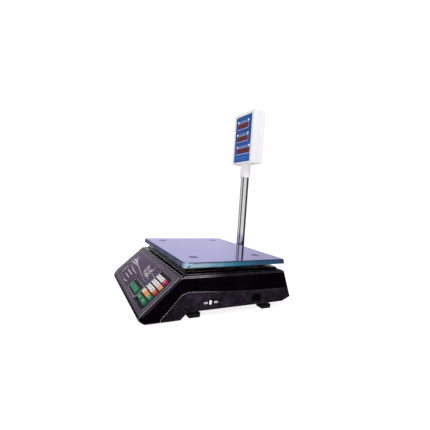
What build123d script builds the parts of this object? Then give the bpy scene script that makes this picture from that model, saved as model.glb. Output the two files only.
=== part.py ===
from build123d import *
import os
from math import atan2, degrees, sin, cos, radians

# Retail price-computing scale with a pole display.
# Millimetres. +Z up, table at z = 0. The operator stands on the -Y side and
# faces +Y; +X is the operator's right. The origin is the centre of the
# overall box on the table.

os.makedirs("parts", exist_ok=True)

# ---------------------------------------------------------------- dimensions
# overall housing
body_half = 175.0          # half width at the widest line, 28 mm above the table
body_half_deck = 172.4     # half width at deck height
body_half_base = 173.6     # half width at the bottom edge
front_y = -186.25          # nose of the operator panel
rear_y_low = 168.75        # widest line of the rear wall
rear_y_deck = 147.2        # rear wall at deck height
corner_r = 14.0            # plan radius of the housing corners beside the panel
rear_corner_r = 5.0        # plan radius of the two rear corners
wall = 2.6                 # housing wall
deck_z = 90.0
plinth_z = 95.0
widest_z = 28.0

# sloping operator panel
panel_top = (-105.45, 88.25)     # (y, z)
panel_foot = (front_y, 13.2)
panel_angle = atan2(panel_top[1] - panel_foot[1], panel_top[0] - panel_foot[0])

# weighing pan
pan_half_x = 168.0
pan_front = -101.75
pan_rear = 148.25
pan_cy = (pan_front + pan_rear) / 2
pan_top_z = 115.4
pan_sheet = 1.2
pan_lip_h = 10.4
pan_flare = 2.3
pan_corner_r = 8.0
pan_bend_r = 3.0
dimple_x = 117.5
dimple_y = (-62.75, 100.25)

# load cell
cell_len, cell_w, cell_h = 150.0, 38.0, 22.0
cell_z0 = 52.0
cell_bolt_x = (52.5, 67.5)

# keys
key_w, key_h = 13.2, 10.8
key_cols = (89.8, 104.2, 118.6, 133.0)
key_rows = (79.8, 66.0, 52.2, 38.4)
wide_row = 24.6
wide_cols = (97.0, 125.8)
wide_w = 27.6
mem_cols = (11.8, 26.3, 40.8, 55.3)
mem_row = 26.0
mem_h = 14.4
key_travel = 1.2
key_top = 3.6              # key top above the panel surface
recess = 1.5               # depth of the key recesses
key_gap = 0.25             # gap all round a key

# pole and display head
pole_x, pole_y = -58.25, 165.25
pole_r, pole_ri = 12.0, 10.6
pole_z0, pole_z1 = 40.1, 352.8
neck_r = 14.8
neck_z0 = 316.7
head_half_w = 53.5
head_y0, head_y1 = 147.8, 186.25
head_split_y = 168.0
head_z0, head_z1 = 356.5, 507.0
head_wall = 2.3
film_half_w = 42.7
film_z0, film_z1 = 362.3, 498.5
windows = (                 # x0, x1, z0, z1
    (-87.0, -34.0, 463.0, 477.0),
    (-87.0, -33.0, 425.2, 439.4),
    (-85.5, -20.5, 388.0, 402.8),
)

# feet, switch, inlet
foot_xy = ((-152.0, -71.75), (152.0, -71.75), (-152.0, 108.25), (152.0, 108.25))
foot_pad, foot_pad_r = 25.2, 3.0     # side and corner radius at the floor
stud_r = 4.0
switch_y0, switch_w = -46.65, 7.4
switch_z0, switch_h = 27.3, 11.2
switch_travel = 4.2
inlet_cy, inlet_cz = 71.0, 32.5
inlet_w, inlet_h = 34.5, 24.6


def save(part, name):
    part.label = name
    export_step(part, f"parts/{name}.step")


panel = Plane(
    origin=(0, panel_foot[0], panel_foot[1]),
    x_dir=(1, 0, 0),
    z_dir=(0, -sin(panel_angle), cos(panel_angle)),
)

# ------------------------------------------------- outer shape of the housing
side_profile = [
    panel_top,
    (-98.65, deck_z),
    (143.2, deck_z),
    (rear_y_deck + 1.0, 87.2),
    (rear_y_low + 0.4, widest_z),
    (144.65, 17.5),
    (-92.2, 17.5),
    (-106.2, 3.0),
    (-176.5, 3.0),
    (front_y, 7.6),
    panel_foot,
]
front_profile = [
    (-176.0, 0.0), (-176.0, widest_z), (-172.75, 85.6), (-163.4, deck_z + 0.01),
    (163.4, deck_z + 0.01), (172.75, 85.6), (176.0, widest_z), (176.0, 0.0),
]

def housing_plan(half_w, y0, y1, inset=0.0):
    # outline seen from above, with larger radii on the operator's side
    with BuildSketch(mode=Mode.PRIVATE) as plan:
        with Locations((0, (y0 + y1) / 2)):
            Rectangle(2 * (half_w - inset), y1 - y0 - 2 * inset)
        fillet(plan.vertices().group_by(Axis.Y)[0], corner_r - inset)
        fillet(plan.vertices().group_by(Axis.Y)[-1], rear_corner_r - inset)
    return plan.sketch


with BuildPart() as envelope:
    # plan shape: rounded rectangle that narrows upward to the deck
    with BuildSketch(Plane.XY.offset(0)):
        add(housing_plan(body_half_base, front_y, rear_y_low))
    with BuildSketch(Plane.XY.offset(widest_z)):
        add(housing_plan(body_half, front_y, rear_y_low))
    loft(ruled=True)
    with BuildSketch(Plane.XY.offset(widest_z)):
        add(housing_plan(body_half, front_y, rear_y_low))
    with BuildSketch(Plane.XY.offset(deck_z)):
        add(housing_plan(body_half_deck, front_y, rear_y_deck))
    loft(ruled=True)
    # side view
    with BuildSketch(Plane.YZ) as side_sk:
        with BuildLine():
            Polyline(*side_profile, close=True)
        make_face()
        fillet(side_sk.vertices().group_by(Axis.X)[0].sort_by(Axis.Y)[-1:], 11.5)
    extrude(amount=200, both=True, mode=Mode.INTERSECT)
    # bevel along the deck's sides
    with BuildSketch(Plane.XZ):
        with BuildLine():
            Polyline(*front_profile, close=True)
        make_face()
    extrude(amount=250, both=True, mode=Mode.INTERSECT)

with BuildPart() as plinth:
    with BuildSketch(Plane.XY.offset(deck_z - 0.5)):
        with Locations((0, (-97.6 + 140.0) / 2)):
            RectangleRounded(2 * 162.6, 237.6, 12)
    extrude(amount=plinth_z - deck_z + 0.5, taper=40)

# -------------------------------------------------------- space inside it
with BuildPart() as cavity:
    with BuildSketch(Plane.XY.offset(0)):
        add(housing_plan(body_half_base, front_y, rear_y_low, wall))
    with BuildSketch(Plane.XY.offset(widest_z)):
        add(housing_plan(body_half, front_y, rear_y_low, wall))
    loft(ruled=True)
    with BuildSketch(Plane.XY.offset(widest_z)):
        add(housing_plan(body_half, front_y, rear_y_low, wall))
    with BuildSketch(Plane.XY.offset(deck_z)):
        add(housing_plan(body_half_deck, front_y, rear_y_deck, wall))
    loft(ruled=True)
    with BuildSketch(Plane.YZ) as cav_sk:
        with BuildLine():
            Polyline(*side_profile, close=True)
        make_face()
        offset(amount=-wall, kind=Kind.INTERSECTION, mode=Mode.REPLACE)
        fillet(cav_sk.vertices().group_by(Axis.X)[0].sort_by(Axis.Y)[-1:], 5)
    extrude(amount=200, both=True, mode=Mode.INTERSECT)
    with BuildSketch(Plane.XY.offset(deck_z - wall - 3)):
        with Locations((0, (-97.6 + 140.0) / 2)):
            RectangleRounded(2 * 155.0, 222.0, 8)
    extrude(amount=plinth_z - deck_z + 3)
    # the rear wall steps in around the pole bracket
    with Locations((pole_x, 148.0, 33.4)):
        Box(2 * 34.6, 40, 80, align=(Align.CENTER, Align.MIN, Align.MIN), mode=Mode.SUBTRACT)

with BuildPart() as bracket_pocket:
    with Locations((pole_x, 150.6, 36.0)):
        Box(2 * 32.0, 40, 80, align=(Align.CENTER, Align.MIN, Align.MIN))

# the seam between the two housings, seen from the side
seam = [(-146.35, 8.7), (-105.75, 53.0), (-91.75, 57.7), (-16.75, 52.6), (53.25, 49.5), (143.25, 48.0), (210, 47.6)]
seam_gap = 0.5

# --------------------------------------------------------------- upper housing
screw_xy = ((-160.0, -150.0), (160.0, -150.0), (-159.0, 20.0), (159.0, 20.0), (-125.0, 138.0), (125.0, 138.0))
screw_seam_z = (20.0, 20.0, 50.4, 50.4, 48.4, 48.4)     # where the two bosses meet
screw_base_z = (3.0, 3.0, 17.5, 17.5, 17.5, 17.5)

with BuildPart() as upper_housing:
    add(envelope.part)
    add(plinth.part)
    with BuildSketch(Plane.YZ):
        with BuildLine():
            Polyline((-230, -10), (-146.35, -10), *seam, (210, 130), (-230, 130), close=True)
        make_face()
    extrude(amount=200, both=True, mode=Mode.INTERSECT)
    add(cavity.part, mode=Mode.SUBTRACT)
    # the base tray's floor closes the chin from below
    with Locations((0, -183.0, -1.0)):
        Box(2 * 170.6, 60, 6.9, align=(Align.CENTER, Align.MIN, Align.MIN), mode=Mode.SUBTRACT)
    # thicker web behind the two key blocks
    with BuildSketch(panel.offset(-3.6)):
        with Locations((112.5, 52.5)):
            Rectangle(74.0, 84.0)
        with Locations((33.0, 27.0)):
            Rectangle(80.0, 30.0)
    extrude(amount=2.2)
    # raised frame round the main keys
    with BuildSketch(panel.offset(-0.6)):
        with Locations((113.0, 52.5)):
            RectangleRounded(75.4, 83.0, 4.0)
            RectangleRounded(68.6, 76.2, 2.2, mode=Mode.SUBTRACT)
    extrude(amount=1.9)
    # recesses and the openings for the keys
    with BuildSketch(panel.offset(-recess)):
        with Locations((113.0, 52.5)):
            RectangleRounded(68.6, 76.2, 2.2)
        with Locations((32.5, 27.6)):
            RectangleRounded(75.0, 26.0, 2.0)
    extrude(amount=6, mode=Mode.SUBTRACT)
    with BuildSketch(panel.offset(-8)):
        for ky in key_rows:
            for kx in key_cols:
                with Locations((kx, ky)):
                    Rectangle(key_w + 2 * key_gap, key_h + 2 * key_gap)
        for kx in wide_cols:
            with Locations((kx, wide_row)):
                Rectangle(wide_w + 2 * key_gap, key_h + 2 * key_gap)
        for kx in mem_cols:
            with Locations((kx, mem_row)):
                Rectangle(key_w + 2 * key_gap, mem_h + 2 * key_gap)
    extrude(amount=12, mode=Mode.SUBTRACT)
    # shallow seat for the printed film
    with BuildSketch(panel.offset(-0.45)):
        with Locations((-42.6, 53.0)):
            RectangleRounded(232.0, 92.4, 4.0)
        with Locations((32.5, 27.6)):
            RectangleRounded(79.0, 30.0, 3.0, mode=Mode.SUBTRACT)
    extrude(amount=3, mode=Mode.SUBTRACT)
    # posts for the key board
    with BuildSketch(panel.offset(-7.9)):
        with Locations((-5.5, 26.0), (147.0, 18.0), (147.0, 87.0), (70.0, 87.0)):
            Circle(2.4)
    extrude(amount=6)
    # opening over the free end of the load cell
    with BuildSketch(Plane.XY.offset(deck_z - 6)):
        with Locations((60.0, pan_cy)):
            RectangleRounded(48.0, 52.0, 6.0)
    extrude(amount=14, mode=Mode.SUBTRACT)
    # seat for the level vial
    with BuildSketch(Plane.XY.offset(deck_z - 6)):
        with Locations((-138.0, -76.0)):
            Circle(8.3)
    extrude(amount=14, mode=Mode.SUBTRACT)
    # screw bosses that hang from the deck and the panel
    for (bx, by), bz in zip(screw_xy, screw_seam_z):
        top = 88.0 if by > -100 else 40.5
        with BuildSketch(Plane.XY.offset(bz + 0.1)):
            with Locations((bx, by)):
                Circle(4.6)
        extrude(amount=top - bz - 0.1)
        with BuildSketch(Plane.XY.offset(bz - 1)):
            with Locations((bx, by)):
                Circle(1.9)
        extrude(amount=15, mode=Mode.SUBTRACT)
    # pole bracket pocket and its upper screw holes
    add(bracket_pocket.part, mode=Mode.SUBTRACT)
    with BuildSketch(Plane.XZ.offset(-140.0)):
        with Locations((pole_x - 24, 76.0), (pole_x + 24, 76.0)):
            Circle(2.05)
    extrude(amount=-30, mode=Mode.SUBTRACT)
save(upper_housing.part, "upper_housing")

# --------------------------------------------------------------- lower housing
low_seam = [(y, z - seam_gap) for y, z in seam]
with BuildPart() as lower_housing:
    add(envelope.part)
    with BuildSketch(Plane.YZ):
        with BuildLine():
            Polyline((-145.85, -10), (-145.85, 8.2), *low_seam[1:], (210, -10), close=True)
        make_face()
        with BuildLine():
            Polyline((-182.6, -10), (-182.6, 5.5), (-140.0, 5.5), (-140.0, -10), close=True)
        make_face()
    extrude(amount=200, both=True, mode=Mode.INTERSECT)
    # the floor under the chin stands inside the upper housing's walls
    with Locations((170.2, -200, -1), (-180.2, -200, -1)):
        Box(10, 54.15, 7.0, align=(Align.MIN, Align.MIN, Align.MIN), mode=Mode.SUBTRACT)
    add(cavity.part, mode=Mode.SUBTRACT)
    # bosses for the levelling feet
    for fx, fy in foot_xy:
        with BuildSketch(Plane.XY.offset(17.5)):
            with Locations((fx, fy)):
                Circle(9.0)
        extrude(amount=18.5)
        with BuildSketch(Plane.XY.offset(10)):
            with Locations((fx, fy)):
                Circle(stud_r + 0.06)
        extrude(amount=30, mode=Mode.SUBTRACT)
    # screw bosses
    for (bx, by), bz, b0 in zip(screw_xy, screw_seam_z, screw_base_z):
        with BuildSketch(Plane.XY.offset(b0 + 1.0)):
            with Locations((bx, by)):
                Circle(5.4)
        extrude(amount=bz - b0 - 1.1)
        with BuildSketch(Plane.XY.offset(b0 - 2)):
            with Locations((bx, by)):
                Circle(3.7)
        extrude(amount=5, mode=Mode.SUBTRACT)
        with BuildSketch(Plane.XY.offset(b0)):
            with Locations((bx, by)):
                Circle(2.2)
        extrude(amount=60, mode=Mode.SUBTRACT)
    # pad under the load cell's base
    with Locations((-61.0, pan_cy, 18.0)):
        Box(80.0, 56.0, 6.0, align=(Align.CENTER, Align.CENTER, Align.MIN))
    with BuildSketch(Plane.XY.offset(19.0)):
        for sx in (-91.0, -31.0):
            for sy in (-19.0, 19.0):
                with Locations((sx, pan_cy + sy)):
                    Circle(2.05)
    extrude(amount=10, mode=Mode.SUBTRACT)
    # posts for the two circuit boards
    with BuildSketch(Plane.XY.offset(18.0)):
        with Locations((-134.0, -76.0), (-14.0, -76.0), (-134.0, -14.0), (-14.0, -14.0)):
            Circle(3.0)
        with Locations((-2.0, 74.0), (58.0, 74.0), (-2.0, 136.0), (58.0, 136.0)):
            Circle(3.0)
    extrude(amount=8.0)
    # window for the slide switch in a shallow well, with a thicker wall behind it
    with Locations((169.3, switch_y0 - 8.0, switch_z0 - 6.0)):
        Box(4.0, switch_w + switch_travel + 16.0, switch_h + 12.0, align=(Align.MIN, Align.MIN, Align.MIN))
    with Locations((172.6, switch_y0 - 4.0, switch_z0 - 2.2)):
        Box(10, switch_w + switch_travel + 8.0, switch_h + 4.4, align=(Align.MIN, Align.MIN, Align.MIN), mode=Mode.SUBTRACT)
    with Locations((168.0, switch_y0 - 2.0, switch_z0 - 1.2)):
        Box(14, switch_w + switch_travel + 4.0, switch_h + 2.4, align=(Align.MIN, Align.MIN, Align.MIN), mode=Mode.SUBTRACT)
    # window for the mains inlet
    with Locations((160.0, inlet_cy, inlet_cz)):
        Box(24, inlet_w + 0.5, inlet_h + 0.5, align=(Align.MIN, Align.CENTER, Align.CENTER), mode=Mode.SUBTRACT)
    # pole bracket pocket and its lower screw holes
    add(bracket_pocket.part, mode=Mode.SUBTRACT)
    with BuildSketch(Plane.XZ.offset(-140.0)):
        with Locations((pole_x - 24, 42.0), (pole_x + 24, 42.0)):
            Circle(2.05)
    extrude(amount=-30, mode=Mode.SUBTRACT)
    # cooling slots in the floor
    with BuildSketch(Plane.XY.offset(10)):
        with GridLocations(7.0, 0, 9, 1):
            with Locations((30.0, -45.0)):
                SlotOverall(34.0, 3.0, rotation=90)
    extrude(amount=12, mode=Mode.SUBTRACT)
save(lower_housing.part, "lower_housing")

# --------------------------------------------------------------- housing screws
with BuildPart() as housing_screws:
    for (bx, by), bz, b0 in zip(screw_xy, screw_seam_z, screw_base_z):
        with BuildSketch(Plane.XY.offset(b0 + 0.5)):
            with Locations((bx, by)):
                Circle(3.5)
        extrude(amount=2.4)
        with BuildSketch(Plane.XY.offset(b0 + 2.9)):
            with Locations((bx, by)):
                Circle(1.8)
        extrude(amount=bz + 10.0 - b0 - 2.9)
        # cross recess
        with BuildSketch(Plane.XY.offset(b0)):
            with Locations((bx, by)):
                Rectangle(3.6, 0.9)
                Rectangle(0.9, 3.6)
        extrude(amount=1.7, mode=Mode.SUBTRACT)
save(housing_screws.part, "housing_screws")

# ------------------------------------------------------------ printed film
with BuildPart() as panel_overlay:
    with BuildSketch(panel.offset(-0.4)):
        with Locations((-42.6, 53.0)):
            RectangleRounded(231.4, 91.8, 3.7)
        with Locations((32.5, 27.6)):
            RectangleRounded(79.6, 30.6, 3.3, mode=Mode.SUBTRACT)
    extrude(amount=0.45)
save(panel_overlay.part, "panel_overlay")

# ----------------------------------------------------------------------- keys
def make_key(cx, cy, w, h, name):
    with BuildPart() as key:
        # cap with tapered sides
        with BuildSketch(panel.offset(-3.75)):
            with Locations((cx, cy)):
                RectangleRounded(w, h, 1.3)
        extrude(amount=3.75 - 1.0)
        with BuildSketch(panel.offset(-1.0)):
            with Locations((cx, cy)):
                RectangleRounded(w, h, 1.3)
        extrude(amount=key_top + 1.0, taper=6)
        fillet(key.faces().sort_by(Axis((0, 0, 0), panel.z_dir))[-1].edges(), 0.7)
        # retaining flange along the upper and lower edges
        with BuildSketch(panel.offset(-4.75)):
            with Locations((cx, cy)):
                Rectangle(w, h + 1.5)
        extrude(amount=1.0)
        # hollow underside with a plunger
        with BuildSketch(panel.offset(-6)):
            with Locations((cx, cy)):
                Rectangle(w - 3.0, h - 3.0)
                Circle(1.6, mode=Mode.SUBTRACT)
        extrude(amount=7.6, mode=Mode.SUBTRACT)
    save(key.part, name)


for r, ky in enumerate(key_rows):
    for c, kx in enumerate(key_cols):
        make_key(kx, ky, key_w, key_h, f"key_r{r + 1}c{c + 1}")
make_key(wide_cols[0], wide_row, wide_w, key_h, "key_r5_left")
make_key(wide_cols[1], wide_row, wide_w, key_h, "key_r5_right")
for c, kx in enumerate(mem_cols):
    make_key(kx, mem_row, key_w, mem_h, f"memory_key_{c + 1}")

# ------------------------------------------------------- switch board for keys
with BuildPart() as key_board:
    with BuildSketch(panel.offset(-9.6)):
        with Locations((32.0, 26.6)):
            Rectangle(82.0, 27.0)
        with Locations((109.5, 52.5)):
            Rectangle(82.0, 79.0)
    extrude(amount=1.6)
    with BuildSketch(panel.offset(-8.05)):
        for ky in key_rows:
            for kx in key_cols:
                with Locations((kx, ky)):
                    Rectangle(6.0, 6.0)
        for kx in wide_cols:
            with Locations((kx, wide_row)):
                Rectangle(6.0, 6.0)
        for kx in mem_cols:
            with Locations((kx, mem_row)):
                Rectangle(6.0, 6.0)
    extrude(amount=1.1)
    with BuildSketch(panel.offset(-7.0)):
        for ky in key_rows:
            for kx in key_cols:
                with Locations((kx, ky)):
                    Circle(1.6)
        for kx in wide_cols:
            with Locations((kx, wide_row)):
                Circle(1.6)
        for kx in mem_cols:
            with Locations((kx, mem_row)):
                Circle(1.6)
    extrude(amount=0.6)
    # connector for the ribbon to the main board
    with BuildSketch(panel.offset(-14.5)):
        with Locations((100.0, 30.0)):
            Rectangle(26.0, 6.0)
    extrude(amount=5.0)
save(key_board.part, "key_board")

# -------------------------------------------------------------------- boards
with BuildPart() as main_board:
    with Locations((-74.0, -45.0, 26.05)):
        Box(130.0, 72.0, 1.6, align=(Align.CENTER, Align.CENTER, Align.MIN))
    with Locations((-92.0, -40.0, 27.6)):
        Box(22.0, 22.0, 2.4, align=(Align.CENTER, Align.CENTER, Align.MIN))
    with Locations((-60.0, -42.0, 27.6)):
        Box(14.0, 28.0, 3.6, align=(Align.CENTER, Align.CENTER, Align.MIN))
    with Locations((-30.0, -66.0, 27.6), (-30.0, -50.0, 27.6), (-112.0, -70.0, 27.6)):
        Box(20.0, 6.0, 8.0, align=(Align.CENTER, Align.CENTER, Align.MIN))
    with Locations((-118.0, -28.0, 27.6), (-106.0, -28.0, 27.6)):
        Cylinder(4.0, 12.0, align=(Align.CENTER, Align.CENTER, Align.MIN))
save(main_board.part, "main_board")

with BuildPart() as power_board:
    with Locations((28.0, 105.0, 26.05)):
        Box(70.0, 70.0, 1.6, align=(Align.CENTER, Align.CENTER, Align.MIN))
    with Locations((8.0, 120.0, 27.6), (24.0, 120.0, 27.6)):
        Cylinder(6.5, 24.0, align=(Align.CENTER, Align.CENTER, Align.MIN))
    with Locations((46.0, 112.0, 27.6)):
        Box(4.0, 36.0, 26.0, align=(Align.CENTER, Align.CENTER, Align.MIN))
    with Locations((14.0, 84.0, 27.6)):
        Box(24.0, 8.0, 10.0, align=(Align.CENTER, Align.CENTER, Align.MIN))
save(power_board.part, "power_board")

with BuildPart() as transformer:
    # laminated core standing on its long edge
    with Locations((104.0, 96.0, 20.15)):
        Box(50.0, 22.0, 42.0, align=(Align.CENTER, Align.CENTER, Align.MIN))
    # winding
    with BuildSketch(Plane.XZ.offset(-96.0)):
        with Locations((104.0, 41.15)):
            RectangleRounded(34.0, 28.0, 4.0)
    extrude(amount=21.0, both=True)
save(transformer.part, "transformer")

# ------------------------------------------------------------------- battery
with BuildPart() as battery:
    with Locations((-90.0, 90.0, 20.15)):
        Box(101.0, 70.0, 47.0, align=(Align.CENTER, Align.CENTER, Align.MIN))
    fillet(battery.edges().filter_by(Axis.Z), 2.0)
    with Locations((-38.0, 112.0, 52.0), (-38.0, 68.0, 52.0)):
        Box(6.0, 4.8, 0.8)
save(battery.part, "battery")

with BuildPart() as battery_strap:
    with BuildSketch(Plane.YZ.offset(-118.0)) as strap_sk:
        with BuildLine():
            Polyline((41.0 + 4, 20.15), (54.9, 20.15), (54.9, 67.25), (125.1, 67.25), (125.1, 20.15),
                     (135.0, 20.15), (135.0, 21.35), (126.3, 21.35), (126.3, 68.45), (53.7, 68.45),
                     (53.7, 21.35), (45.0, 21.35), close=True)
        make_face()
    extrude(amount=12.0)
save(battery_strap.part, "battery_strap")

# ----------------------------------------------------------------- load cell
with BuildPart() as load_cell_base:
    with Locations((-61.0, pan_cy, 24.05)):
        Box(76.0, 52.0, 7.0, align=(Align.CENTER, Align.CENTER, Align.MIN))
    with Locations((-60.0, pan_cy, 30.0)):
        Box(32.0, 40.0, cell_z0 - 30.0, align=(Align.CENTER, Align.CENTER, Align.MIN))
    with BuildSketch(Plane.XY.offset(20)):
        for sx in (-91.0, -31.0):
            for sy in (-19.0, 19.0):
                with Locations((sx, pan_cy + sy)):
                    Circle(2.7)
    extrude(amount=12, mode=Mode.SUBTRACT)
    with BuildSketch(Plane.XY.offset(36.0)):
        for bx in cell_bolt_x:
            with Locations((-bx, pan_cy)):
                Circle(3.1)
    extrude(amount=20, mode=Mode.SUBTRACT)
save(load_cell_base.part, "load_cell_base")

with BuildPart() as load_cell:
    with Locations((0, pan_cy, cell_z0 + 0.05)):
        Box(cell_len, cell_w, cell_h - 0.1, align=(Align.CENTER, Align.CENTER, Align.MIN))
    # the double bore that lets the beam bend as a parallelogram
    with BuildSketch(Plane.XZ.offset(-pan_cy)):
        with Locations((-15.0, cell_z0 + cell_h / 2), (15.0, cell_z0 + cell_h / 2)):
            Circle(8.4)
        with Locations((0, cell_z0 + cell_h / 2)):
            Rectangle(30.0, 6.0)
    extrude(amount=30, both=True, mode=Mode.SUBTRACT)
    with BuildSketch(Plane.XY.offset(cell_z0 - 2)):
        for bx in cell_bolt_x:
            with Locations((-bx, pan_cy), (bx, pan_cy)):
                Circle(3.25)
    extrude(amount=30, mode=Mode.SUBTRACT)
save(load_cell.part, "load_cell")

with BuildPart() as load_cell_bolts:
    for bx in cell_bolt_x:
        with BuildSketch(Plane.XY.offset(38.0)):
            with Locations((-bx, pan_cy)):
                Circle(3.0)
        extrude(amount=cell_z0 + cell_h - 38.0)
        with BuildSketch(Plane.XY.offset(cell_z0 + cell_h)):
            with Locations((-bx, pan_cy)):
                Circle(5.0)
        extrude(amount=6.0)
        with BuildSketch(Plane.XY.offset(cell_z0 + cell_h + 3.0)):
            with Locations((-bx, pan_cy)):
                RegularPolygon(2.9, 6)
        extrude(amount=4.0, mode=Mode.SUBTRACT)
    for sx in (-91.0, -31.0):
        for sy in (-19.0, 19.0):
            with BuildSketch(Plane.XY.offset(19.2)):
                with Locations((sx, pan_cy + sy)):
                    Circle(2.0)
            extrude(amount=31.1 - 19.2)
            with BuildSketch(Plane.XY.offset(31.1)):
                with Locations((sx, pan_cy + sy)):
                    Circle(4.0)
            extrude(amount=2.8)
save(load_cell_bolts.part, "load_cell_bolts")

# ----------------------------------------------------------- platform support
arm_z0, arm_z1 = 98.6, 106.0
pad_z0, pad_z1 = 108.0, 113.35
with BuildPart() as pan_support:
    with BuildSketch(Plane.XY.offset(arm_z0)) as spider_sk:
        with Locations((0, pan_cy)):
            RectangleRounded(150.0, 56.0, 8.0)
        for sx in (-1, 1):
            for yy in dimple_y:
                with BuildLine():
                    Polyline((sx * 44.0, pan_cy - 20.0 if yy < pan_cy else pan_cy + 20.0),
                             (sx * 74.0, pan_cy - 4.0 if yy < pan_cy else pan_cy + 4.0),
                             (sx * (dimple_x + 8.0), yy + (3.0 if yy < pan_cy else -3.0)),
                             (sx * (dimple_x - 5.0), yy + (-8.0 if yy < pan_cy else 8.0)), close=True)
                make_face()
        for sx in (-1, 1):
            with Locations((sx * dimple_x, dimple_y[0]), (sx * dimple_x, dimple_y[1])):
                Circle(11.0)
        with Locations((-20.0, pan_cy)):
            RectangleRounded(60.0, 30.0, 5.0, mode=Mode.SUBTRACT)
    extrude(amount=arm_z1 - arm_z0)
    with BuildSketch(Plane.XY.offset(arm_z1 - 1)):
        for sx in (-1, 1):
            with Locations((sx * dimple_x, dimple_y[0]), (sx * dimple_x, dimple_y[1])):
                Circle(10.0)
    extrude(amount=pad_z0 - arm_z1 + 1)
    # boss down to the free end of the load cell
    with Locations((60.0, pan_cy, cell_z0 + cell_h)):
        Box(29.0, 36.0, arm_z0 - cell_z0 - cell_h + 1.0, align=(Align.CENTER, Align.CENTER, Align.MIN))
    with BuildSketch(Plane.XY.offset(cell_z0 + cell_h - 1)):
        for bx in cell_bolt_x:
            with Locations((bx, pan_cy)):
                Circle(3.1)
    extrude(amount=18.0, mode=Mode.SUBTRACT)
    # seats for the rubber buttons
    with BuildSketch(Plane.XY.offset(pad_z0 - 4)):
        for sx in (-1, 1):
            with Locations((sx * dimple_x, dimple_y[0]), (sx * dimple_x, dimple_y[1])):
                Circle(3.1)
    extrude(amount=6, mode=Mode.SUBTRACT)
save(pan_support.part, "pan_support")

with BuildPart() as pan_support_pads:
    with BuildSketch(Plane.XY.offset(pad_z0)):
        for sx in (-1, 1):
            with Locations((sx * dimple_x, dimple_y[0]), (sx * dimple_x, dimple_y[1])):
                Circle(9.0)
    extrude(amount=pad_z1 - pad_z0)
    chamfer(pan_support_pads.faces().sort_by(Axis.Z)[-4:].edges(), 1.0)
    with BuildSketch(Plane.XY.offset(pad_z0 - 3.5)):
        for sx in (-1, 1):
            with Locations((sx * dimple_x, dimple_y[0]), (sx * dimple_x, dimple_y[1])):
                Circle(2.9)
    extrude(amount=3.6)
save(pan_support_pads.part, "pan_support_pads")

with BuildPart() as platform_bolts:
    for bx in cell_bolt_x:
        with BuildSketch(Plane.XY.offset(cell_z0 - 6.0)):
            with Locations((bx, pan_cy)):
                Circle(5.0)
        extrude(amount=6.0)
        with BuildSketch(Plane.XY.offset(cell_z0)):
            with Locations((bx, pan_cy)):
                Circle(3.0)
        extrude(amount=36.0)
        with BuildSketch(Plane.XY.offset(cell_z0 - 7.0)):
            with Locations((bx, pan_cy)):
                RegularPolygon(2.9, 6)
        extrude(amount=4.0, mode=Mode.SUBTRACT)
save(platform_bolts.part, "platform_bolts")

# --------------------------------------------------------------- weighing pan
pan_w = 2 * (pan_half_x + pan_flare)
pan_d = (pan_rear - pan_front) + 2 * pan_flare
lip_taper = degrees(atan2(pan_flare, pan_lip_h))
with BuildPart() as weighing_pan:
    with BuildSketch(Plane.XY.offset(pan_top_z - pan_lip_h)):
        with Locations((0, pan_cy)):
            RectangleRounded(pan_w, pan_d, pan_corner_r)
    extrude(amount=pan_lip_h, taper=lip_taper)
    fillet(weighing_pan.faces().sort_by(Axis.Z)[-1].edges(), pan_bend_r)
    with BuildPart(mode=Mode.PRIVATE) as pan_inside:
        with BuildSketch(Plane.XY.offset(pan_top_z - pan_lip_h)):
            with Locations((0, pan_cy)):
                RectangleRounded(pan_w - 2 * pan_sheet, pan_d - 2 * pan_sheet, pan_corner_r - pan_sheet)
        extrude(amount=pan_lip_h - pan_sheet, taper=lip_taper)
        fillet(pan_inside.faces().sort_by(Axis.Z)[-1].edges(), pan_bend_r - pan_sheet)
    add(pan_inside.part, mode=Mode.SUBTRACT)
    # four shallow dimples that sit on the rubber buttons
    with BuildSketch(Plane.XY.offset(pan_top_z - pan_sheet - 0.8)):
        for sx in (-1, 1):
            with Locations((sx * dimple_x, dimple_y[0]), (sx * dimple_x, dimple_y[1])):
                Circle(11.5)
    extrude(amount=0.9)
    for sx in (-1, 1):
        for yy in dimple_y:
            with Locations((sx * dimple_x, yy, pan_top_z - 0.8)):
                Cone(9.0, 12.0, 0.8, align=(Align.CENTER, Align.CENTER, Align.MIN), mode=Mode.SUBTRACT)
save(weighing_pan.part, "weighing_pan")

# ------------------------------------------------------------------ level vial
with BuildPart() as level_vial:
    with Locations((-138.0, -76.0, 84.0)):
        Cylinder(8.0, 11.2, align=(Align.CENTER, Align.CENTER, Align.MIN))
    with Locations((-138.0, -76.0, plinth_z + 0.1)):
        Cylinder(10.0, 1.4, align=(Align.CENTER, Align.CENTER, Align.MIN))
    fillet(level_vial.edges().sort_by(Axis.Z)[-1:], 0.8)
save(level_vial.part, "level_vial")

# ----------------------------------------------------------- power switch
with BuildPart() as power_switch_body:
    with Locations((156.0, switch_y0 + (switch_w + switch_travel) / 2, switch_z0 + switch_h / 2)):
        Box(10.5, 27.0, 17.0, align=(Align.MIN, Align.CENTER, Align.CENTER))
    # guide slot for the knob's stem
    with Locations((164.0, switch_y0 + (switch_w + switch_travel) / 2, switch_z0 + switch_h / 2)):
        Box(6.0, 9.2, 4.6, align=(Align.MIN, Align.CENTER, Align.CENTER), mode=Mode.SUBTRACT)
    # three solder lugs
    with Locations((150.5, switch_y0 - 2.2, 33.0), (150.5, switch_y0 + 5.8, 33.0), (150.5, switch_y0 + 13.8, 33.0)):
        Box(6.0, 1.0, 4.0, align=(Align.MIN, Align.CENTER, Align.CENTER))
save(power_switch_body.part, "power_switch_body")

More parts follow.
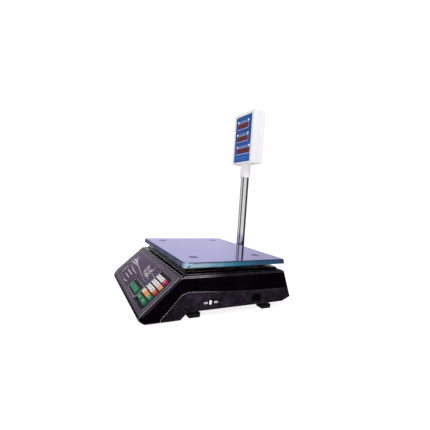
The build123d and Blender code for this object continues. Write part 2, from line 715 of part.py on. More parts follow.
with BuildPart() as power_switch_knob:
    with Locations((167.0, switch_y0, switch_z0)):
        Box(7.6, switch_w, switch_h, align=(Align.MIN, Align.MIN, Align.MIN))
    fillet(power_switch_knob.faces().sort_by(Axis.X)[-1].edges(), 0.9)
    with Locations((164.3, switch_y0 + switch_w / 2, switch_z0 + switch_h / 2)):
        Box(2.8, 4.4, 4.0, align=(Align.MIN, Align.CENTER, Align.CENTER))
save(power_switch_knob.part, "power_switch_knob")

# ------------------------------------------------------------- mains inlet
with BuildPart() as power_inlet:
    with Locations((150.0, inlet_cy, inlet_cz)):
        Box(24.3, inlet_w, inlet_h, align=(Align.MIN, Align.CENTER, Align.CENTER))
    fillet(power_inlet.edges().filter_by(Axis.X), 1.6)
    # socket, with its two cut corners
    with BuildSketch(Plane.YZ.offset(155.0)):
        with Locations((inlet_cy, inlet_cz)):
            with BuildLine():
                Polyline((inlet_cy - 12.2, inlet_cz - 8.3), (inlet_cy + 12.2, inlet_cz - 8.3),
                         (inlet_cy + 12.2, inlet_cz + 3.6), (inlet_cy + 7.6, inlet_cz + 8.3),
                         (inlet_cy - 7.6, inlet_cz + 8.3), (inlet_cy - 12.2, inlet_cz + 3.6), close=True)
            make_face()
    extrude(amount=30, mode=Mode.SUBTRACT)
    # holes for the pins
    with BuildSketch(Plane.YZ.offset(148.0)):
        with Locations((inlet_cy - 7.0, inlet_cz - 2.0), (inlet_cy + 7.0, inlet_cz - 2.0), (inlet_cy, inlet_cz + 2.0)):
            Rectangle(2.2, 4.2)
    extrude(amount=10, mode=Mode.SUBTRACT)
save(power_inlet.part, "power_inlet")

with BuildPart() as inlet_pins:
    with BuildSketch(Plane.YZ.offset(144.0)):
        with Locations((inlet_cy - 7.0, inlet_cz - 2.0), (inlet_cy + 7.0, inlet_cz - 2.0), (inlet_cy, inlet_cz + 2.0)):
            Rectangle(2.0, 4.0)
    extrude(amount=25.0)
save(inlet_pins.part, "inlet_pins")

# ------------------------------------------------------------- pole and bracket
with BuildPart() as pole_bracket:
    with Locations((pole_x, 150.9, 36.4)):
        Box(62.6, 7.0, 50.0, align=(Align.CENTER, Align.MIN, Align.MIN))
    fillet(pole_bracket.edges().filter_by(Axis.Y), 3.0)
    with BuildSketch(Plane.XY.offset(36.4)):
        with Locations((pole_x, pole_y)):
            Circle(16.6)
        with Locations((pole_x, 158.5)):
            Rectangle(33.2, 14.0)
    extrude(amount=50.0)
    # flat back that lies on the housing's pocket
    with Locations((pole_x, 150.9, 30.0)):
        Box(90, 40, 70, align=(Align.CENTER, Align.MAX, Align.MIN), mode=Mode.SUBTRACT)
    with BuildSketch(Plane.XY.offset(pole_z0 - 0.1)):
        with Locations((pole_x, pole_y)):
            Circle(pole_r + 0.06)
    extrude(amount=60.0, mode=Mode.SUBTRACT)
    with BuildSketch(Plane.XZ.offset(-140.0)):
        with Locations((pole_x - 24, 42.0), (pole_x + 24, 42.0), (pole_x - 24, 76.0), (pole_x + 24, 76.0)):
            Circle(2.3)
    extrude(amount=-30, mode=Mode.SUBTRACT)
save(pole_bracket.part, "pole_bracket")

with BuildPart() as pole_bracket_screws:
    for sx in (-24, 24):
        for sz in (42.0, 76.0):
            with BuildSketch(Plane.XZ.offset(-144.0)):
                with Locations((pole_x + sx, sz)):
                    Circle(2.0)
            extrude(amount=-13.95)
            with BuildSketch(Plane.XZ.offset(-157.95)):
                with Locations((pole_x + sx, sz)):
                    Circle(3.6)
            extrude(amount=-3.2)
            with BuildSketch(Plane.XZ.offset(-159.6)):
                with Locations((pole_x + sx, sz)):
                    Rectangle(4.2, 0.9)
                    Rectangle(0.9, 4.2)
            extrude(amount=-3.0, mode=Mode.SUBTRACT)
save(pole_bracket_screws.part, "pole_bracket_screws")

with BuildPart() as pole_tube:
    with BuildSketch(Plane.XY.offset(pole_z0)):
        with Locations((pole_x, pole_y)):
            Circle(pole_r)
            Circle(pole_ri, mode=Mode.SUBTRACT)
    extrude(amount=pole_z1 - pole_z0)
save(pole_tube.part, "pole_tube")

# ------------------------------------------------------------- display head
with BuildPart() as pole_neck:
    with BuildSketch(Plane.XY.offset(neck_z0)):
        with Locations((pole_x, pole_y)):
            Circle(neck_r)
    extrude(amount=362.0 - neck_z0)
    chamfer(pole_neck.edges().sort_by(Axis.Z)[:1], 0.8)
    with BuildSketch(Plane.XY.offset(head_z0 + head_wall + 0.1)):
        with Locations((pole_x, pole_y)):
            Rectangle(34.0, 29.0)
    extrude(amount=362.0 - head_z0 - head_wall - 0.1)
    with BuildSketch(Plane.XY.offset(neck_z0 - 1)):
        with Locations((pole_x, pole_y)):
            Circle(pole_r + 0.08)
    extrude(amount=353.0 - neck_z0 + 1, mode=Mode.SUBTRACT)
    with BuildSketch(Plane.XY.offset(350.0)):
        with Locations((pole_x, pole_y)):
            Circle(7.0)
    extrude(amount=20, mode=Mode.SUBTRACT)
save(pole_neck.part, "pole_neck")

head_cy = (head_y0 + head_y1) / 2
head_d = head_y1 - head_y0
head_cz = (head_z0 + head_z1) / 2
head_h = head_z1 - head_z0

with BuildPart() as head_outer:
    with BuildSketch(Plane.XZ.offset(-head_y0)):
        with Locations((pole_x, head_cz)):
            RectangleRounded(2 * head_half_w, head_h, 4.2)
    extrude(amount=-head_d)
    fillet(head_outer.faces().filter_by(Axis.Y).edges(), 1.6)
with BuildPart() as head_inner:
    with BuildSketch(Plane.XZ.offset(-head_y0 - head_wall)):
        with Locations((pole_x, head_cz)):
            RectangleRounded(2 * (head_half_w - head_wall), head_h - 2 * head_wall, 4.2 - head_wall)
    extrude(amount=-(head_d - 2 * head_wall))
head_screw_at = [(pole_x + sx * 47.2, z) for sx in (-1, 1) for z in (364.5, 500.5)]

with BuildPart() as head_front_shell:
    add(head_outer.part)
    add(head_inner.part, mode=Mode.SUBTRACT)
    with Locations((pole_x, head_split_y - 0.1, head_cz)):
        Box(300, 100, 300, align=(Align.CENTER, Align.MIN, Align.CENTER), mode=Mode.SUBTRACT)
    # bosses for the case screws
    with BuildSketch(Plane.XZ.offset(-head_y0 - head_wall + 0.2)):
        with Locations(*head_screw_at):
            Circle(3.4)
    extrude(amount=-(head_split_y - 0.1 - head_y0 - head_wall + 0.2))
    with BuildSketch(Plane.XZ.offset(-156.0)):
        with Locations(*head_screw_at):
            Circle(1.35)
    extrude(amount=-30, mode=Mode.SUBTRACT)
    # seat for the film and windows through the face
    with BuildSketch(Plane.XZ.offset(-head_y0 - 0.5)):
        with Locations((pole_x, (film_z0 + film_z1) / 2)):
            RectangleRounded(2 * film_half_w + 0.6, film_z1 - film_z0 + 0.6, 3.3)
    extrude(amount=10, mode=Mode.SUBTRACT)
    with BuildSketch(Plane.XZ.offset(-head_y0 - 8)):
        for x0, x1, z0, z1 in windows:
            with Locations(((x0 + x1) / 2, (z0 + z1) / 2)):
                Rectangle(x1 - x0, z1 - z0)
    extrude(amount=20, mode=Mode.SUBTRACT)
    with BuildSketch(Plane.XY.offset(340.0)):
        with Locations((pole_x, pole_y)):
            Circle(neck_r + 0.1)
    extrude(amount=20, mode=Mode.SUBTRACT)
save(head_front_shell.part, "head_front_shell")

with BuildPart() as head_rear_shell:
    add(head_outer.part)
    add(head_inner.part, mode=Mode.SUBTRACT)
    with Locations((pole_x, head_split_y + 0.1, head_cz)):
        Box(300, 100, 300, align=(Align.CENTER, Align.MAX, Align.CENTER), mode=Mode.SUBTRACT)
    with BuildSketch(Plane.XZ.offset(-head_y1 + head_wall - 0.2)):
        with Locations(*head_screw_at):
            Circle(3.4)
    extrude(amount=head_y1 - head_wall + 0.2 - head_split_y - 0.1)
    with BuildSketch(Plane.XZ.offset(-156.0)):
        with Locations(*head_screw_at):
            Circle(1.7)
    extrude(amount=-40, mode=Mode.SUBTRACT)
    with BuildSketch(Plane.XZ.offset(-head_y1 + 2.0)):
        with Locations(*head_screw_at):
            Circle(2.9)
    extrude(amount=-10, mode=Mode.SUBTRACT)
    with BuildSketch(Plane.XZ.offset(-head_y1 + 0.5)):
        with Locations((pole_x, (film_z0 + film_z1) / 2)):
            RectangleRounded(2 * film_half_w + 0.6, film_z1 - film_z0 + 0.6, 3.3)
    extrude(amount=-10, mode=Mode.SUBTRACT)
    with BuildSketch(Plane.XZ.offset(-head_y1 + 8)):
        for x0, x1, z0, z1 in windows:
            with Locations((2 * pole_x - (x0 + x1) / 2, (z0 + z1) / 2)):
                Rectangle(x1 - x0, z1 - z0)
    extrude(amount=-20, mode=Mode.SUBTRACT)
    with BuildSketch(Plane.XY.offset(340.0)):
        with Locations((pole_x, pole_y)):
            Circle(neck_r + 0.1)
    extrude(amount=20, mode=Mode.SUBTRACT)
save(head_rear_shell.part, "head_rear_shell")

with BuildPart() as head_front_overlay:
    with BuildSketch(Plane.XZ.offset(-head_y0 + 0.1)):
        with Locations((pole_x, (film_z0 + film_z1) / 2)):
            RectangleRounded(2 * film_half_w, film_z1 - film_z0, 3.0)
        for x0, x1, z0, z1 in windows:
            with Locations(((x0 + x1) / 2, (z0 + z1) / 2)):
                Rectangle(x1 - x0, z1 - z0, mode=Mode.SUBTRACT)
    extrude(amount=-0.55)
save(head_front_overlay.part, "head_front_overlay")

with BuildPart() as head_rear_overlay:
    with BuildSketch(Plane.XZ.offset(-head_y1 + 0.45)):
        with Locations((pole_x, (film_z0 + film_z1) / 2)):
            RectangleRounded(2 * film_half_w, film_z1 - film_z0, 3.0)
        for x0, x1, z0, z1 in windows:
            with Locations((2 * pole_x - (x0 + x1) / 2, (z0 + z1) / 2)):
                Rectangle(x1 - x0, z1 - z0, mode=Mode.SUBTRACT)
    extrude(amount=-0.45)
save(head_rear_overlay.part, "head_rear_overlay")

with BuildPart() as head_front_windows:
    with BuildSketch(Plane.XZ.offset(-head_y0)):
        for x0, x1, z0, z1 in windows:
            with Locations(((x0 + x1) / 2, (z0 + z1) / 2)):
                Rectangle(x1 - x0 - 0.2, z1 - z0 - 0.2)
    extrude(amount=-2.6)
save(head_front_windows.part, "head_front_windows")

with BuildPart() as head_rear_windows:
    with BuildSketch(Plane.XZ.offset(-head_y1 + 2.6)):
        for x0, x1, z0, z1 in windows:
            with Locations((2 * pole_x - (x0 + x1) / 2, (z0 + z1) / 2)):
                Rectangle(x1 - x0 - 0.2, z1 - z0 - 0.2)
    extrude(amount=-2.55)
save(head_rear_windows.part, "head_rear_windows")

with BuildPart() as head_board:
    with BuildSketch(Plane.XZ.offset(-166.4)):
        with Locations((pole_x, 434.0)):
            Rectangle(84.0, 124.0)
    extrude(amount=-1.6)
    # digit modules on both faces
    with BuildSketch(Plane.XZ.offset(-151.2)):
        for x0, x1, z0, z1 in windows:
            with Locations(((x0 + x1) / 2, (z0 + z1) / 2)):
                Rectangle(x1 - x0 - 2, 19.0)
    extrude(amount=-(166.5 - 151.2))
    with BuildSketch(Plane.XZ.offset(-167.9)):
        for x0, x1, z0, z1 in windows:
            with Locations((2 * pole_x - (x0 + x1) / 2, (z0 + z1) / 2)):
                Rectangle(x1 - x0 - 2, 19.0)
    extrude(amount=-(182.9 - 167.9))
save(head_board.part, "head_board")

with BuildPart() as head_screws:
    for sx, sz in head_screw_at:
        with BuildSketch(Plane.XZ.offset(-158.0)):
            with Locations((sx, sz)):
                Circle(1.25)
        extrude(amount=-26.3)
        with BuildSketch(Plane.XZ.offset(-184.27)):
            with Locations((sx, sz)):
                Circle(2.7)
                Rectangle(2.8, 0.7, mode=Mode.SUBTRACT)
                Rectangle(0.7, 2.8, mode=Mode.SUBTRACT)
        extrude(amount=-1.6)
        with BuildSketch(Plane.XZ.offset(-184.27)):
            with Locations((sx, sz)):
                Circle(2.7)
        extrude(amount=-0.8)
save(head_screws.part, "head_screws")

# ---------------------------------------------------------------------- feet
for name, (fx, fy) in zip(("foot_front_left", "foot_front_right", "foot_rear_left", "foot_rear_right"), foot_xy):
    with BuildPart() as foot:
        # square rubber pad, a little wider at its top
        with BuildSketch(Plane.XY):
            with Locations((fx, fy)):
                RectangleRounded(foot_pad, foot_pad, foot_pad_r)
        extrude(amount=9.0, taper=-4)
        fillet(foot.faces().sort_by(Axis.Z)[-1].edges(), 1.2)
        chamfer(foot.faces().sort_by(Axis.Z)[0].edges(), 0.5)
        with BuildSketch(Plane.XY.offset(8.0)):
            with Locations((fx, fy)):
                Circle(9.5)
        extrude(amount=8.0)
        with BuildSketch(Plane.XY.offset(15.0)):
            with Locations((fx, fy)):
                Circle(stud_r)
        extrude(amount=19.0)
    save(foot.part, name)
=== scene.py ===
import math

import bmesh
import bpy
from mathutils import Matrix, Vector, noise


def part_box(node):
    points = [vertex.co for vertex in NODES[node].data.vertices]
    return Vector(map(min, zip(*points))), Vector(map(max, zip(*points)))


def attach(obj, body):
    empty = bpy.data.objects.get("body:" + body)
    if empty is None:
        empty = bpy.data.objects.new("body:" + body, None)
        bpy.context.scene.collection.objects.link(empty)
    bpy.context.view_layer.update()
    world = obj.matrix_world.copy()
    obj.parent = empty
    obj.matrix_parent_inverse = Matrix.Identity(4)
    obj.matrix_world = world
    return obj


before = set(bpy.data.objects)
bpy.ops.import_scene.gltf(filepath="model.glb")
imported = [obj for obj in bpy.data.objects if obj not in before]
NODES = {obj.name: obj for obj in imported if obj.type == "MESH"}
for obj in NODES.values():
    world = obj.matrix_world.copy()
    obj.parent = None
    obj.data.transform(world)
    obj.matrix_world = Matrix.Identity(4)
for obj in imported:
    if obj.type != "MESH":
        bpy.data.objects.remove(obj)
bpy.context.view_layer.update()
SCENE = bpy.context.scene
MM = 0.001
ANG = math.radians(42.887)      # slope of the keypad face


# ------------------------------------------------------------------ node trees
class Mat:
    """One material: a Principled shader and short calls for the nodes around it."""

    def __init__(self, name, **sockets):
        self.m = bpy.data.materials.new(name)
        self.m.use_nodes = True
        self.nt = self.m.node_tree
        self.nt.nodes.clear()
        self.out = self.nt.nodes.new("ShaderNodeOutputMaterial")
        self.b = self.nt.nodes.new("ShaderNodeBsdfPrincipled")
        self.nt.links.new(self.b.outputs[0], self.out.inputs["Surface"])
        self._obj = None
        for k, v in sockets.items():
            self.b.inputs[k.replace("_", " ")].default_value = v

    def new(self, kind):
        return self.nt.nodes.new(kind)

    def link(self, a, b):
        self.nt.links.new(a, b)

    def put(self, sock, v):
        if isinstance(v, bpy.types.NodeSocket):
            self.link(v, sock)
        elif isinstance(v, (tuple, list)) and len(v) == 3 and sock.type == "RGBA":
            sock.default_value = (v[0], v[1], v[2], 1.0)
        else:
            sock.default_value = v

    def obj(self):
        if self._obj is None:
            self._obj = self.new("ShaderNodeTexCoord").outputs["Object"]
        return self._obj

    def xyz(self, vec=None):
        n = self.new("ShaderNodeSeparateXYZ")
        self.link(vec or self.obj(), n.inputs[0])
        return n.outputs

    def scaled(self, s, vec=None):
        n = self.new("ShaderNodeMapping")
        self.link(vec or self.obj(), n.inputs["Vector"])
        n.inputs["Scale"].default_value = s
        return n.outputs[0]

    def turned(self, rot, s=(1, 1, 1), vec=None):
        n = self.new("ShaderNodeMapping")
        self.link(vec or self.obj(), n.inputs["Vector"])
        n.inputs["Rotation"].default_value = rot
        n.inputs["Scale"].default_value = s
        return n.outputs[0]

    def noise(self, scale, detail=3.0, rough=0.5, vec=None, dist=0.0):
        n = self.new("ShaderNodeTexNoise")
        self.link(vec or self.obj(), n.inputs["Vector"])
        n.inputs["Scale"].default_value = scale
        n.inputs["Detail"].default_value = detail
        n.inputs["Roughness"].default_value = rough
        n.inputs["Distortion"].default_value = dist
        return n.outputs["Fac"]

    def voronoi(self, scale, feature="F1", vec=None, out="Distance", rnd=1.0):
        n = self.new("ShaderNodeTexVoronoi")
        n.feature = feature
        self.link(vec or self.obj(), n.inputs["Vector"])
        n.inputs["Scale"].default_value = scale
        n.inputs["Randomness"].default_value = rnd
        return n.outputs[out]

    def wave(self, scale, direction="X", dist=0.0, detail=2.0, vec=None):
        n = self.new("ShaderNodeTexWave")
        n.bands_direction = direction
        self.link(vec or self.obj(), n.inputs["Vector"])
        n.inputs["Scale"].default_value = scale
        n.inputs["Distortion"].default_value = dist
        n.inputs["Detail"].default_value = detail
        return n.outputs["Fac"]

    def fmap(self, fac, a, b, c, d, smooth=False):
        n = self.new("ShaderNodeMapRange")
        if smooth:
            n.interpolation_type = "SMOOTHSTEP"
        self.put(n.inputs["Value"], fac)
        n.inputs["From Min"].default_value = a
        n.inputs["From Max"].default_value = b
        n.inputs["To Min"].default_value = c
        n.inputs["To Max"].default_value = d
        return n.outputs["Result"]

    def math(self, op, a, b=None, c=None, clamp=False):
        n = self.new("ShaderNodeMath")
        n.operation = op
        n.use_clamp = clamp
        self.put(n.inputs[0], a)
        if b is not None:
            self.put(n.inputs[1], b)
        if c is not None:
            self.put(n.inputs[2], c)
        return n.outputs[0]

    def mix(self, fac, a, b, blend="MIX"):
        n = self.new("ShaderNodeMix")
        n.data_type = "RGBA"
        n.blend_type = blend
        self.put(n.inputs[0], fac)
        self.put(n.inputs[6], a)
        self.put(n.inputs[7], b)
        return n.outputs[2]

    def ramp(self, fac, stops, interp="LINEAR"):
        n = self.new("ShaderNodeValToRGB")
        self.put(n.inputs[0], fac)
        cr = n.color_ramp
        cr.interpolation = interp
        while len(cr.elements) > 1:
            cr.elements.remove(cr.elements[-1])
        for i, (p, c) in enumerate(stops):
            e = cr.elements[0] if i == 0 else cr.elements.new(p)
            e.position = p
            e.color = (c[0], c[1], c[2], 1.0)
        return n.outputs[0]

    def bump(self, height, distance, strength=1.0, normal=None):
        n = self.new("ShaderNodeBump")
        n.inputs["Strength"].default_value = strength
        n.inputs["Distance"].default_value = distance
        self.put(n.inputs["Height"], height)
        if normal is not None:
            self.link(normal, n.inputs["Normal"])
        return n.outputs[0]

    def bevel(self, radius, samples=4):
        n = self.new("ShaderNodeBevel")
        n.samples = samples
        n.inputs["Radius"].default_value = radius
        return n.outputs[0]

    def edge(self, radius, lo=0.02, hi=0.25, samples=4):
        """1 near an outside edge or an inside corner, 0 on the flat."""
        n = self.new("ShaderNodeVectorMath")
        n.operation = "DOT_PRODUCT"
        self.link(self.bevel(radius, samples), n.inputs[0])
        g = self.new("ShaderNodeNewGeometry")
        self.link(g.outputs["Normal"], n.inputs[1])
        inv = self.math("SUBTRACT", 1.0, n.outputs["Value"])
        return self.fmap(inv, lo, hi, 0.0, 1.0, smooth=True)

    def base(self, v):
        self.put(self.b.inputs["Base Color"], v)
        return self

    def rough(self, v):
        self.put(self.b.inputs["Roughness"], v)
        return self

    def normal(self, v):
        self.put(self.b.inputs["Normal"], v)
        return self


def lin(r, g, b):
    f = lambda c: ((c / 255 + 0.055) / 1.055) ** 2.4 if c > 10.3 else c / 255 / 12.92
    return (f(r), f(g), f(b))


def times(c, k):
    return (c[0] * k, c[1] * k, c[2] * k)


# ------------------------------------------------------------------- materials
def mat_gloss_shell():
    """High-gloss black moulding with orange peel and hairlines; its sloping face is a satin aubergine,
    and its arrises carry a painted highlight, pale and strongest at the front, fading towards the rear."""
    m = Mat("gloss_black_shell")
    x, y, z = m.xyz()
    haze = m.noise(13.0, 5.0, 0.62)
    fine = m.noise(140.0, 3.0, 0.6)
    # distance out of the sloping face, and whether a point lies on it
    w = m.math("ADD", m.math("MULTIPLY", m.math("ADD", y, 0.18625), -math.sin(ANG)),
               m.math("MULTIPLY", m.math("SUBTRACT", z, 0.0132), math.cos(ANG)))
    on = m.fmap(m.math("ABSOLUTE", w), 0.0004, 0.0008, 1.0, 0.0)
    on = m.math("MULTIPLY", on, m.fmap(m.math("ABSOLUTE", x), 0.1632, 0.1640, 1.0, 0.0))
    on = m.math("MULTIPLY", on, m.fmap(z, 0.0850, 0.0858, 1.0, 0.0))
    black = m.mix(m.fmap(haze, 0.35, 0.7, 0, 1), (0.0004, 0.0001, 0.0008), (0.0015, 0.0006, 0.0022))
    face = m.mix(m.fmap(haze, 0.35, 0.7, 0, 1), (0.050, 0.031, 0.063), (0.072, 0.047, 0.088))
    grit = m.voronoi(1700.0, out="Color")
    gb = m.new("ShaderNodeRGBToBW")
    m.link(grit, gb.inputs[0])
    face = m.mix(m.fmap(gb.outputs[0], 0.5, 0.95, 0.0, 0.5), face, (0.15, 0.11, 0.175))
    c = m.mix(on, black, face)
    # painted highlight along the arrises and along the rim of the sloping face
    edge = m.edge(0.0014, 0.003, 0.016)
    rim = m.math("MULTIPLY", on, m.fmap(m.math("ABSOLUTE", m.math("SUBTRACT", m.math("ABSOLUTE", x), 0.1630)), 0.0006, 0.0010, 1.0, 0.0))
    edge = m.math("MAXIMUM", edge, rim)
    # the painted highlight is strongest at the front, fades out towards the rear, and is weak on the outer flank
    front = m.fmap(y, -0.070, -0.005, 1.0, 0.10, smooth=True)
    outer = m.math("MULTIPLY", m.fmap(m.math("ABSOLUTE", x), 0.1650, 0.1660, 0.0, 1.0), m.fmap(z, 0.0825, 0.0845, 1.0, 0.0))
    outer = m.math("MULTIPLY", outer, m.fmap(w, -0.0140, -0.0100, 0.0, 1.0))
    front = m.math("MULTIPLY", front, m.fmap(outer, 0, 1, 1.0, 0.10))
    # the painted highlight is kept off the raised frame round the keys and the sides of the recesses, which stay dark
    proud = m.math("MAXIMUM", m.fmap(w, 0.0003, 0.0006, 0.0, 1.0), m.fmap(w, -0.0006, -0.0003, 1.0, 0.0))
    proud = m.math("MULTIPLY", proud, m.fmap(m.math("ABSOLUTE", x), 0.1535, 0.1545, 1.0, 0.0))
    proud = m.math("MULTIPLY", proud, m.fmap(z, 0.0810, 0.0820, 1.0, 0.0))
    front = m.math("MULTIPLY", front, m.fmap(proud, 0, 1, 1.0, 0.06))
    # painted highlight: pale lilac-grey mixed in along the arrises, broken up a little by noise
    edge_highlight = m.math("MULTIPLY", edge, m.math("MULTIPLY", front, m.fmap(m.noise(55.0, 4.0, 0.6), 0.32, 0.6, 0.55, 1.0)))
    c = m.mix(edge_highlight, c, (0.66, 0.60, 0.68))
    m.base(c)
    r = m.math("ADD", m.fmap(haze, 0.3, 0.75, 0.10, 0.18), m.fmap(fine, 0.4, 0.8, 0.0, 0.06))
    scr = m.noise(60.0, 2.0, 0.5, vec=m.turned((0, 0.4, 0.25), (0.35, 1.0, 14.0)))
    r = m.math("ADD", r, m.fmap(scr, 0.66, 0.72, 0.0, 0.14))
    r = m.math("ADD", r, m.fmap(on, 0, 1, 0.0, 0.2))
    r = m.math("ADD", r, m.fmap(edge_highlight, 0, 1, 0.0, 0.15))
    m.rough(r)
    nb = m.bevel(0.0009)
    nb = m.bump(m.noise(34.0, 2.0, 0.5), 0.00025, 0.10, nb)
    nb = m.bump(m.noise(650.0, 2.0, 0.5), 0.00002, 0.25, nb)
    nb = m.bump(m.math("MULTIPLY", on, m.noise(1500.0, 2.0, 0.6)), 0.00005, 0.5, nb)
    m.normal(nb)
    m.b.inputs["IOR"].default_value = 1.5
    m.b.inputs["Specular Tint"].default_value = (0.92, 0.80, 1.0, 1.0)
    return m.m


def mat_matte_shell():
    """Spark-eroded matte black moulding: cloudy, dusty in its texture, with a painted highlight paling the arrises."""
    m = Mat("matte_black_shell")
    big = m.noise(38.0, 7.0, 0.72, dist=0.3)
    mid = m.noise(170.0, 4.0, 0.7)
    grain = m.voronoi(1500.0)
    c = m.ramp(big, [(0.38, (0.0010, 0.0004, 0.0015)), (0.49, (0.0050, 0.0024, 0.0062)), (0.58, (0.014, 0.0074, 0.0165)),
                     (0.69, (0.036, 0.022, 0.042))])
    c = m.mix(m.fmap(mid, 0.52, 0.74, 0.0, 0.75), c, (0.034, 0.021, 0.040))
    c = m.mix(m.fmap(mid, 0.50, 0.34, 0.0, 0.7), c, (0.0020, 0.0010, 0.0026))
    c = m.mix(m.fmap(grain, 0.0, 0.5, 0.22, 0.0), c, (0.04, 0.028, 0.046))
    # painted highlight: the arrises are paled towards grey
    edge = m.edge(0.0010, 0.003, 0.02)
    c = m.mix(m.math("MULTIPLY", edge, m.fmap(mid, 0.3, 0.7, 0.15, 0.6)), c, (0.11, 0.09, 0.12))
    m.base(c)
    m.rough(m.math("ADD", m.fmap(big, 0.3, 0.7, 0.42, 0.62), m.fmap(grain, 0.0, 0.6, 0.12, 0.0)))
    nb = m.bevel(0.0008)
    nb = m.bump(m.noise(1300.0, 3.0, 0.6), 0.00012, 0.55, nb)
    nb = m.bump(grain, 0.00006, 0.5, nb)
    m.normal(nb)
    m.b.inputs["Specular Tint"].default_value = (0.92, 0.80, 1.0, 1.0)
    return m.m


def mat_pan():
    """Stainless sheet under a lilac protective film; the side lip carries a painted reflection, pale cyan at the front
    turning navy at the rear, and a painted dark reflection line runs along the bend at the lip's top.
    """
    m = Mat("pan_filmed_steel", Metallic=1.0)
    x, y, z = m.xyz()
    cloud = m.noise(7.0, 4.0, 0.55)
    brush = m.noise(90.0, 3.0, 0.6, vec=m.scaled((1.0, 0.02, 1.0)))
    brush2 = m.noise(900.0, 2.0, 0.6, vec=m.scaled((1.0, 0.012, 1.0)))
    top = m.mix(m.fmap(cloud, 0.3, 0.7, 0, 1), (0.43, 0.40, 0.67), (0.48, 0.455, 0.72))
    top = m.mix(m.fmap(brush2, 0.35, 0.7, 0.0, 0.2), top, (0.60, 0.58, 0.80))
    # streaks where the film has lifted a little, and small air bubbles under it
    lift = m.noise(10.0, 3.0, 0.5, vec=m.turned((0, 0, 0.5), (1.0, 5.0, 1.0)), dist=0.6)
    top = m.mix(m.fmap(lift, 0.60, 0.70, 0.0, 0.30, smooth=True), top, (0.66, 0.64, 0.84))
    spot = m.noise(4.5, 2.0, 0.5)
    bub = m.math("MULTIPLY", m.fmap(m.voronoi(120.0), 0.10, 0.16, 1.0, 0.0), m.fmap(spot, 0.55, 0.66, 0.0, 0.5))
    top = m.mix(bub, top, (0.74, 0.73, 0.88))
    # how far down the lip: 0 on the flat, 1 on the lip
    lipz = m.fmap(z, 0.1152, 0.1140, 0.0, 1.0, smooth=True)
    bend = m.math("MULTIPLY", m.fmap(z, 0.1153, 0.1148, 0.0, 1.0), m.fmap(z, 0.1126, 0.1138, 0.0, 1.0))
    along = m.math("ADD", y, m.fmap(m.noise(30.0, 3.0, 0.6), 0.3, 0.7, -0.015, 0.015))
    # painted reflection: the side lip's colour runs from pale cyan at the front to navy at the rear, with darker
    # streaks along it
    side = m.ramp(m.fmap(along, -0.10175, 0.14825, 0.0, 1.0), [
        (0.00, (0.36, 0.50, 0.60)), (0.10, (0.62, 0.84, 0.93)), (0.24, (0.55, 0.82, 0.93)), (0.36, (0.16, 0.52, 0.74)),
        (0.50, (0.08, 0.36, 0.58)), (0.70, (0.07, 0.22, 0.44)), (1.0, (0.10, 0.15, 0.34))])
    band = m.fmap(m.noise(60.0, 2.0, 0.5, vec=m.scaled((1.0, 0.05, 5.0))), 0.42, 0.6, 0.0, 0.5)
    side = m.mix(band, side, (0.035, 0.14, 0.25))
    front = m.mix(m.fmap(m.noise(26.0, 3.0, 0.6), 0.35, 0.7, 0, 1), (0.10, 0.16, 0.30), (0.22, 0.27, 0.44))
    isx = m.fmap(m.math("SUBTRACT", m.math("ABSOLUTE", x), m.math("ABSOLUTE", m.math("SUBTRACT", y, 0.02325))), 0.036, 0.043, 0.0, 1.0)
    lip = m.mix(isx, front, side)
    c = m.mix(lipz, top, lip)
    # painted dark reflection line along the bend at the top of the lip
    c = m.mix(m.math("MULTIPLY", bend, 0.85), c, (0.035, 0.07, 0.15))
    m.base(c)
    m.put(m.b.inputs["Metallic"], m.fmap(lipz, 0, 1, 1.0, 0.72))
    smear = m.noise(16.0, 5.0, 0.65, vec=m.turned((0, 0, 0.9), (1.0, 2.2, 1.0)))
    r = m.math("ADD", m.fmap(smear, 0.35, 0.75, 0.045, 0.13), m.fmap(brush2, 0.3, 0.7, 0.0, 0.03))
    r = m.math("ADD", r, m.fmap(lipz, 0, 1, 0.0, 0.14))
    m.rough(r)
    nb = m.bump(brush, 0.00001, 0.22)
    nb = m.bump(m.noise(18.0, 2.0, 0.5), 0.0002, 0.07, nb)
    nb = m.bump(m.noise(150.0, 3.0, 0.6), 0.00025, 0.12, nb)
    m.normal(nb)
    m.b.inputs["Specular Tint"].default_value = (0.80, 0.785, 0.955, 1.0)
    return m.m


def mat_chrome():
    """Bright chromed tube: drawn lengthwise, a little wavy, a few fingerprints."""
    m = Mat("chrome_plate", Metallic=1.0)
    line = m.noise(700.0, 2.0, 0.5, vec=m.scaled((1.0, 1.0, 0.01)))
    print_ = m.noise(45.0, 5.0, 0.65)
    m.base(m.mix(m.fmap(line, 0.35, 0.7, 0, 1), (0.86, 0.85, 0.86), (0.96, 0.95, 0.95)))
    m.rough(m.math("ADD", m.fmap(line, 0.3, 0.7, 0.03, 0.08), m.fmap(print_, 0.55, 0.8, 0.0, 0.12)))
    nb = m.bump(m.noise(16.0, 2.0, 0.5, vec=m.scaled((1.0, 1.0, 0.35))), 0.0011, 0.35)
    nb = m.bump(line, 0.00001, 0.3, nb)
    m.normal(nb)
    return m.m


